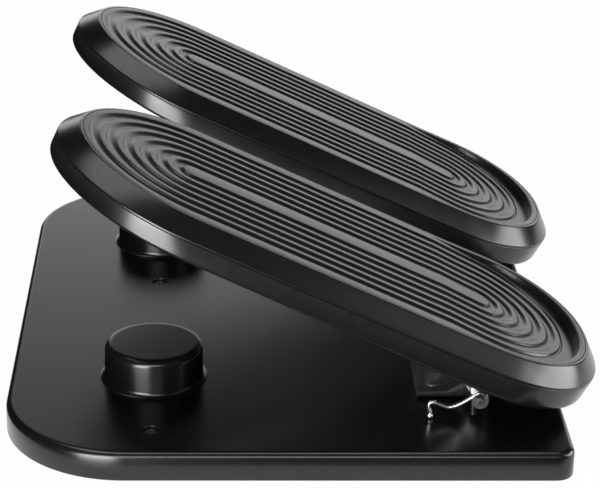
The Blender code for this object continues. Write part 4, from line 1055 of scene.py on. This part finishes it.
# %% Pedal screws and bushes
PIN_BORE = 0.0024
FLANGE_RADIUS = 0.0044
FLANGE_INNER, FLANGE_OUTER = 0.0342, 0.0350
bush_section = plain([(PIN_BORE, FLANGE_OUTER, 0.0), (FLANGE_RADIUS, FLANGE_OUTER, 0.0002),
                      (FLANGE_RADIUS, FLANGE_INNER, 0.0), (BUSH_RADIUS, FLANGE_INNER, 0.0),
                      (BUSH_RADIUS, LUG_INNER, 0.0002), (PIN_BORE, LUG_INNER, 0.0),
                      (PIN_BORE, FLANGE_OUTER, 0.0)], 3)
head_down = Matrix.Rotation(math.pi, 4, "X")
for side, word in SIDES:
    for number, place in enumerate(screw_places, start=1):
        seat = Matrix.Translation((place.x, place.y, place.z + HEAD_DEPTH - FIT)) @ head_down
        place_screw(f"{word}_pedal_fixing_{number}", pedal_frame(side) @ seat, PEDAL_SCREW,
                    f"{word}_pedal", f"{word}_pedal_screw_{number}")
    for number, hand in enumerate(HANDS, start=1):
        bush = turn_section(bush_section, 32)
        bush.transform(Matrix.Rotation(math.radians(-90 * hand), 4, "X"))
        pedal_piece(bush, side, f"nylon_bush_{number}", "bush_nylon", f"bush_{number}")

# %% [markdown]
# ## Bracket
# The bracket is cut flat from two-millimetre steel and folded. So it is modelled the same way: the
# flat pattern first, with its ears, bores and screw holes, then cuts across both bends so that they
# can curve, then the fold, which wraps the pattern round the bend, and the sheet's thickness last.

# %% Flat pattern, fold and thickness
SHEET = 0.0020
BEND, BEND_STEPS = 0.0030, 8
BRACKET_HALF_LENGTH = 0.0310
BRACKET_HALF_WIDTH = 0.0276
BRACKET_UNDER = FIT - HINGE_HEIGHT
FLAT_HALF = BRACKET_HALF_WIDTH - BEND
BEND_RUN = BEND * math.pi / 2
EAR_START = FLAT_HALF + BEND_RUN
EAR_MIDDLE = EAR_START - BRACKET_UNDER - BEND
EAR_FOOT = 0.0150
EAR_ROUND, EAR_ARC = 0.0060, (-20, 200)
PLATE_EDGE, EAR_EDGE = EAR_START + 0.0002, EAR_START + 0.0004
BRACKET_HOLE = 0.00205
BRACKET_TURN_STEP = 0.5
BRACKET_SCREWS = [(x, y) for x in (-0.022, 0.022) for y in (-0.016, 0.016)]


def bracket_outline():
    """Half plate with one ear, and its mirror image, as one closed outline."""
    half = [(BRACKET_HALF_LENGTH, PLATE_EDGE), (EAR_FOOT, EAR_EDGE)]
    half += [(x, EAR_MIDDLE + y) for x, y in arc_points(EAR_ROUND, *EAR_ARC, 24)]
    half += [(-EAR_FOOT, EAR_EDGE), (-BRACKET_HALF_LENGTH, PLATE_EDGE)]
    return half + [(x, -y) for x, y in reversed(half)]


def fold(place):
    """Place on the folded sheet of a point of the flat pattern."""
    x, across = place.x, abs(place.y)
    hand = 1.0 if place.y > 0 else -1.0
    if across <= FLAT_HALF:
        return Vector((x, place.y, 0.0))
    angle = min((across - FLAT_HALF) / BEND, math.pi / 2)
    rise = max(0.0, across - EAR_START)
    return Vector((x, hand * (FLAT_HALF + BEND * math.sin(angle)),
                   BEND * (1 - math.cos(angle)) + rise))


def make_bracket():
    """Folded bracket, measured from the hinge axis."""
    holes = [(0.0, hand * EAR_MIDDLE, PIN_BORE, 24) for hand in HANDS]
    holes += [(x, y, BRACKET_HOLE, 20) for x, y in BRACKET_SCREWS]
    bm = flat_sheet(bracket_outline(), holes)
    for hand in HANDS:
        for step in range(BEND_STEPS + 1):
            place = hand * (FLAT_HALF + BEND_RUN * step / BEND_STEPS)
            cut_across(bm, (0.0, place, 0.0), (0.0, 1.0, 0.0))
    for vert in bm.verts:
        vert.co = fold(vert.co)
    bmesh.ops.recalc_face_normals(bm, faces=bm.faces)
    if max(bm.faces, key=lambda face: face.calc_area()).normal.z > 0:
        bmesh.ops.reverse_faces(bm, faces=bm.faces)
    bmesh.ops.solidify(bm, geom=bm.faces[:], thickness=SHEET)
    move(bm, bm.verts, z=BRACKET_UNDER)
    return bm


for side, word in SIDES:
    bracket = make_bracket()
    bmesh.ops.translate(bracket, vec=from_hinge(side), verts=bracket.verts)
    low = min(vert.co.z for vert in bracket.verts)
    print(f"{word} bracket from {(low - TRAY_TOP) * 1000:.2f} mm above the tray")
    add_piece(bracket, f"{word}_folded_bracket", "dark_steel", "base", f"{word}_hinge_bracket",
              sharp=50.0)
    for number, (x, y) in enumerate(BRACKET_SCREWS, start=1):
        seat = Matrix.Translation(from_hinge(side, x, y, BRACKET_UNDER + SHEET + FIT))
        turned = seat @ Matrix.Rotation(number * BRACKET_TURN_STEP, 4, "Z")
        place_screw(f"{word}_bracket_fixing_{number}", turned, BRACKET_SCREW, "base",
                    f"{word}_bracket_screw_{number}")

# %% [markdown]
# ## Pin and clips
# The pin is turned from one rod, with a groove near each end. An open ring snaps into each groove.

# %% Pin and clips
PIN_RADIUS = 0.0021
PIN_CHAMFER = 0.0004
NECK_RADIUS = 0.0016
NECK_HALF = 0.0007
CLIP_OUTER, CLIP_INNER = 0.0044, 0.0019
CLIP_HALF = 0.0004
CLIP_ARC = (130, 410)
CLIP_PLACE = COIL_OUTER_PLACE + WIRE / 2 + FIT + CLIP_HALF
PIN_END = 0.0012
PIN_HALF = CLIP_PLACE + CLIP_HALF + PIN_END
half_pin = [(0.0, PIN_HALF, 0.0), (PIN_RADIUS, PIN_HALF, PIN_CHAMFER),
            (PIN_RADIUS, CLIP_PLACE + NECK_HALF, 0.0), (NECK_RADIUS, CLIP_PLACE + NECK_HALF, 0.0),
            (NECK_RADIUS, CLIP_PLACE - NECK_HALF, 0.0), (PIN_RADIUS, CLIP_PLACE - NECK_HALF, 0.0)]
pin_section = plain(half_pin + [(radius, -height, rounding)
                                for radius, height, rounding in reversed(half_pin)], 4)
clip_outline = (arc_points(CLIP_OUTER, *CLIP_ARC, 36)
                + arc_points(CLIP_INNER, *CLIP_ARC[::-1], 24))
for side, word in SIDES:
    place = Matrix.Translation(from_hinge(side))
    pin = turn_section(pin_section, 32)
    pin.transform(place @ Matrix.Rotation(math.radians(-90), 4, "X"))
    add_piece(pin, f"{word}_pin", "dark_steel", "base", f"{word}_hinge_pin")
    for number, hand in enumerate(HANDS, start=1):
        clip = bmesh.new()
        clip.faces.new([clip.verts.new((x, z, 0.0)) for x, z in clip_outline])
        thicken(clip, 2 * CLIP_HALF)
        clip.transform(place @ Matrix.Translation((0.0, hand * CLIP_PLACE, 0.0))
                       @ Matrix.Rotation(math.radians(90), 4, "X"))
        add_piece(clip, f"{word}_snap_ring_{number}", "dark_steel", "base",
                  f"{word}_pin_clip_{number}")

# %% [markdown]
# ## Torsion springs
# Each spring is one wire: a wavy leg that stands on the tray with a bead at its end, a few turns
# round the pin, and a leg that lies along the sole. The legs are given as shares of their reach and
# of the height that they have to climb, and a smooth line is drawn through those places.

# %% Route of the wire
COIL_RADIUS = 0.0036
COIL_PITCH = 0.0029
COIL_START = 130.0
COIL_END = 240.0 - math.degrees(PEDAL_TILT)
COIL_TURNS = 3 + ((COIL_START - COIL_END) % 360) / 360
COIL_STEPS = 24
LEG_STEPS = 6
BASE_LEG = 0.0270
PEDAL_LEG = 0.0380
FOOT_PLACE = 0.97
FOOT_HEIGHTS = (0.0, 0.15, 0.5, 0.9, 1.25)
FOOT_TOP = 1.5
BEAD = (1.0, 1.35, 1.5, 1.35, 1.0)
BASE_LEG_PLACES = ((1.000, -0.400), (0.985, -0.190), (0.910, -0.140), (0.780, -0.250),
                   (0.590, -0.400), (0.390, -0.240), (0.205, 0.045))
PEDAL_LEG_PLACES = ((0.170, 0.01), (0.370, 0.38), (0.560, 0.72), (0.700, 0.95))
PEDAL_LEG_TOUCH = (0.8, 0.9, 1.0)


def smooth_route(points):
    """Points of a smooth line through a route, with its ends kept."""
    padded = [2 * points[0] - points[1]] + list(points) + [2 * points[-1] - points[-2]]
    route = []
    for before, start, end, after in zip(padded, padded[1:], padded[2:], padded[3:]):
        for step in range(LEG_STEPS):
            t = step / LEG_STEPS
            route.append(0.5 * (2 * start + t * (end - before)
                                + t * t * (2 * before - 5 * start + 4 * end - after)
                                + t * t * t * (3 * start - before - 3 * end + after)))
    return route + [points[-1]]


def under_sole(x):
    """Height of the wire's middle where it lies against the sole."""
    return SOLE - sole_drop(x) - FIT - WIRE / 2


def wire_route():
    """Route of the spring at the pedal's near side, measured from the hinge axis."""
    outer, inner = -COIL_OUTER_PLACE, -(COIL_OUTER_PLACE - COIL_TURNS * COIL_PITCH)
    foot_x, foot_z = -BASE_LEG * FOOT_PLACE, FIT - HINGE_HEIGHT
    foot = [Vector((foot_x, outer, foot_z + share * WIRE)) for share in FOOT_HEIGHTS]
    base_leg = [Vector((foot_x, outer, foot_z + FOOT_TOP * WIRE))]
    base_leg += [Vector((-along * BASE_LEG, outer, rise * HINGE_HEIGHT))
                 for along, rise in BASE_LEG_PLACES]
    count = round(COIL_TURNS * COIL_STEPS)
    coil = []
    for number in range(count + 1):
        share = number / count
        angle = math.radians(COIL_START - share * COIL_TURNS * 360)
        coil.append(Vector((COIL_RADIUS * math.cos(angle), outer + share * (inner - outer),
                            COIL_RADIUS * math.sin(angle))))
    touch = under_sole(-PEDAL_LEG_TOUCH[0] * PEDAL_LEG)
    climb = [(-along * PEDAL_LEG, rise * touch) for along, rise in PEDAL_LEG_PLACES]
    climb += [(-along * PEDAL_LEG, under_sole(-along * PEDAL_LEG)) for along in PEDAL_LEG_TOUCH]
    tilt = Matrix.Rotation(PEDAL_TILT, 3, "Y")
    pedal_leg = [tilt @ Vector((x, 0.0, z)) + Vector((0.0, inner, 0.0)) for x, z in climb]
    return (foot + smooth_route(base_leg + [coil[0]])[:-1] + coil
            + smooth_route([coil[-1]] + pedal_leg)[1:])


route = wire_route()

# %% [markdown]
# The wire is a curve with a round bevel along that route, turned into a mesh. On the real
# footrest, when the pedal goes down, one end stays and the other turns with it, so the coil winds
# up; here each spring is built once, in the rest pose.

# %% Four springs
def wire_mesh(name, points):
    """Round wire along the points, with a bead at its first end, as a mesh."""
    curve = bpy.data.curves.new(name, "CURVE")
    curve.dimensions = "3D"
    curve.bevel_depth = WIRE / 2
    curve.bevel_resolution = 3
    curve.use_fill_caps = True
    spline = curve.splines.new("POLY")
    spline.points.add(len(points) - 1)
    for point, place in zip(spline.points, points):
        point.co = (*place, 1.0)
    for point, swell in zip(spline.points, BEAD):
        point.radius = swell
    guide = add_object(name, curve)
    bpy.context.view_layer.update()
    shaped = guide.evaluated_get(bpy.context.evaluated_depsgraph_get())
    mesh = bpy.data.meshes.new_from_object(shaped)
    bpy.data.objects.remove(guide)
    bm = bmesh.new()
    bm.from_mesh(mesh)
    bpy.data.meshes.remove(mesh)
    return bm


for side, word in SIDES:
    for number, hand in enumerate(HANDS, start=1):
        centre = from_hinge(side)
        points = [centre + Vector((place.x, -hand * place.y, place.z)) for place in route]
        spring = make_object(wire_mesh("wire", points), f"{word}_spring_{number}",
                             finishes["spring_steel"], sharp=60.0)
        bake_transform(spring)
        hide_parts(f"{word}_torsion_spring_{number}")
        print(f"{spring.name}: {len(spring.data.polygons)} faces")

# %% [markdown]
# ## Floor
# The footrest stands on a white card with a rounded front corner, as on a product table. The camera
# and every mirrored ray see the card as nearly plain white, so it melts into the white room behind
# it, and no extra light falls on the object. The card ends just in front of the tray: black plastic
# shows all that it mirrors, and a card that ran on would turn the dark skirts grey.

# %% Floor
CARD_LENGTH, CARD_DEPTH = 0.780, 0.66
CARD_PLACE = (0.2100, 0.126, 0.0)
CARD_CORNER = 0.080
CARD_COLOUR = (0.86, 0.86, 0.86, 1.0)
WHITE = (1.0, 1.0, 1.0, 1.0)
CARD_GLOW = 0.97


def make_floor_finish():
    """Pale matt floor, lifted towards white for the camera and for mirrored and clear rays."""
    material, shader, place = start_finish("pale_floor", Roughness=0.9, Base_Color=CARD_COLOUR,
                                           Specular_IOR_Level=0.0)
    camera_ray, glossy_ray, clear_ray = [
        place.node("ShaderNodeLightPath", output=f"Is {kind} Ray")
        for kind in ("Camera", "Glossy", "Transmission")]
    white = place.node("ShaderNodeEmission", None, {"Color": WHITE, "Strength": 1.0})
    mixed = place.node("ShaderNodeMixShader", None, {
        0: CARD_GLOW * (camera_ray + glossy_ray + clear_ray),
        1: Wire(place.tree, shader.outputs[0]), 2: white})
    place.tree.links.new(mixed.socket, place.tree.nodes["Material Output"].inputs["Surface"])
    return material


card = bmesh.new()
bmesh.ops.create_grid(card, x_segments=1, y_segments=1, size=0.5)
bmesh.ops.scale(card, vec=(CARD_LENGTH, CARD_DEPTH, 1.0), verts=card.verts)
move(card, card.verts, *CARD_PLACE)
front_left = [vert for vert in card.verts if vert.co.x < 0 and vert.co.y < 0]
bmesh.ops.bevel(card, geom=front_left, offset=CARD_CORNER, segments=12, profile=0.5,
                affect="VERTICES", material=-1)
floor = make_object(card, "pale_floor", make_floor_finish(), sharp=35.0)
floor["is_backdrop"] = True
print(f"floor: a white card of {CARD_LENGTH:.2f} x {CARD_DEPTH:.2f} m")

# %% [markdown]
# ## Light
# Product pictures of black plastic are lit by large soft boxes, because black only shows what it
# mirrors. The band behind the footrest lies in the level faces and in the crests of the mats. Two
# key boxes at the left, one mostly below the level of the table and one above it, draw the broad
# light on the skirts and on the round stops. The boxes at the right light the heel ends, and the
# one above the camera draws the thin lights along the edges. A very faint one from below opens up
# the darkest walls. Each box is an area lamp with a given brightness, and its power follows from
# its size.

# %% Soft boxes and room light
ROOM_LIGHT = 0.012
ROOM_WHITE = 0.976


def soft_box(name, place, aim, width, height, brightness):
    """Area lamp at a place, turned towards a point."""
    lamp = bpy.data.lights.new(name, "AREA")
    lamp.shape = "RECTANGLE"
    lamp.size = width
    lamp.size_y = height
    lamp.energy = brightness * math.pi * width * height
    turn = (Vector(aim) - Vector(place)).to_track_quat("-Z", "Y").to_matrix().to_4x4()
    add_object(name, lamp).matrix_world = Matrix.Translation(place) @ turn
    print(f"{name}: {lamp.energy:.1f} W")


soft_box("overhead_box", (-0.27, 0.12, 2.10), (-0.27, 0.12, 0.0), 1.5, 1.48, 2.6)
soft_box("back_band", (0.50, 2.40, 0.55), (0.0, 0.0, 0.05), 3.2, 0.8, 1.65)
soft_box("back_left_panel", (-0.35, 2.40, 1.20), (-0.10, 0.0, 0.02), 0.9, 0.5, 0.60)
soft_box("key_box", (-0.57, -1.05, -0.16), (-0.13, -0.165, 0.05), 0.60, 0.54, 12.5)
soft_box("key_top", (-0.58, -1.19, 0.25), (-0.08, -0.10, 0.03), 0.64, 0.38, 14.5)
soft_box("right_box", (1.18, -0.06, 0.27), (0.17, -0.12, 0.06), 0.88, 0.48, 7.5)
soft_box("right_shoulder", (1.10, -0.50, 0.50), (0.15, -0.12, 0.06), 0.30, 0.40, 4.0)
soft_box("right_fill", (1.26, -0.72, 0.98), (0.10, -0.10, 0.06), 0.7, 0.7, 0.9)
soft_box("front_box", (-0.20, -1.70, 0.78), (0.0, -0.10, 0.03), 1.3, 0.36, 7.0)
soft_box("front_low_fill", (0.45, -1.20, -0.60), (0.05, -0.17, 0.06), 1.5, 0.80, 0.05)

world = bpy.data.worlds.new("dim_room")
world.use_nodes = True
background = world.node_tree.nodes["Background"].inputs
seen = Wire(world.node_tree).node("ShaderNodeLightPath", output="Is Camera Ray")
world.node_tree.links.new((ROOM_LIGHT + ROOM_WHITE * seen).socket, background["Strength"])
background["Color"].default_value = WHITE
bpy.context.scene.world = world

# %% [markdown]
# ## Camera
# The camera stands low in front, a little left of the middle, and looks down by 23 degrees. Its
# place and its lens follow from the vanishing points of the straight edges in the picture.

# %% Camera
PITCH = math.radians(22.966)
YAW = 0.0448
ROLL = 0.0223
FOCAL_PIXELS = 2132.3
PICTURE_WIDTH = 600
CAMERA_PLACE = Vector((-0.05041, -1.15231, 0.54459))
forward = Vector((math.sin(YAW) * math.cos(PITCH), math.cos(YAW) * math.cos(PITCH),
                  -math.sin(PITCH)))
level_right = Vector((math.cos(YAW), -math.sin(YAW), 0.0))
level_up = level_right.cross(forward)
right = math.cos(ROLL) * level_right + math.sin(ROLL) * level_up
up = math.cos(ROLL) * level_up - math.sin(ROLL) * level_right
lens = bpy.data.cameras.new("camera")
lens.sensor_width = 36.0
lens.lens = lens.sensor_width * FOCAL_PIXELS / PICTURE_WIDTH
camera = add_object("camera", lens)
camera.matrix_world = (Matrix.Translation(CAMERA_PLACE)
                       @ Matrix((right, up, -forward)).transposed().to_4x4())
bpy.context.scene.camera = camera
bpy.context.scene.view_settings.view_transform = "Standard"
print(f"lens {lens.lens:.1f} mm, {CAMERA_PLACE.length:.2f} m away")

# %% [markdown]
# ## Size before and after
# The boxes of the imported and of the dressed model are printed, in millimetres.

# %% Boxes before and after
dressed_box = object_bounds()
boxes = {"packed": [list(corner) for corner in packed_box],
         "dressed": [list(corner) for corner in dressed_box]}
for name, box in boxes.items():
    print(f"{name}:", [[round(value * 1000, 1) for value in corner] for corner in box])
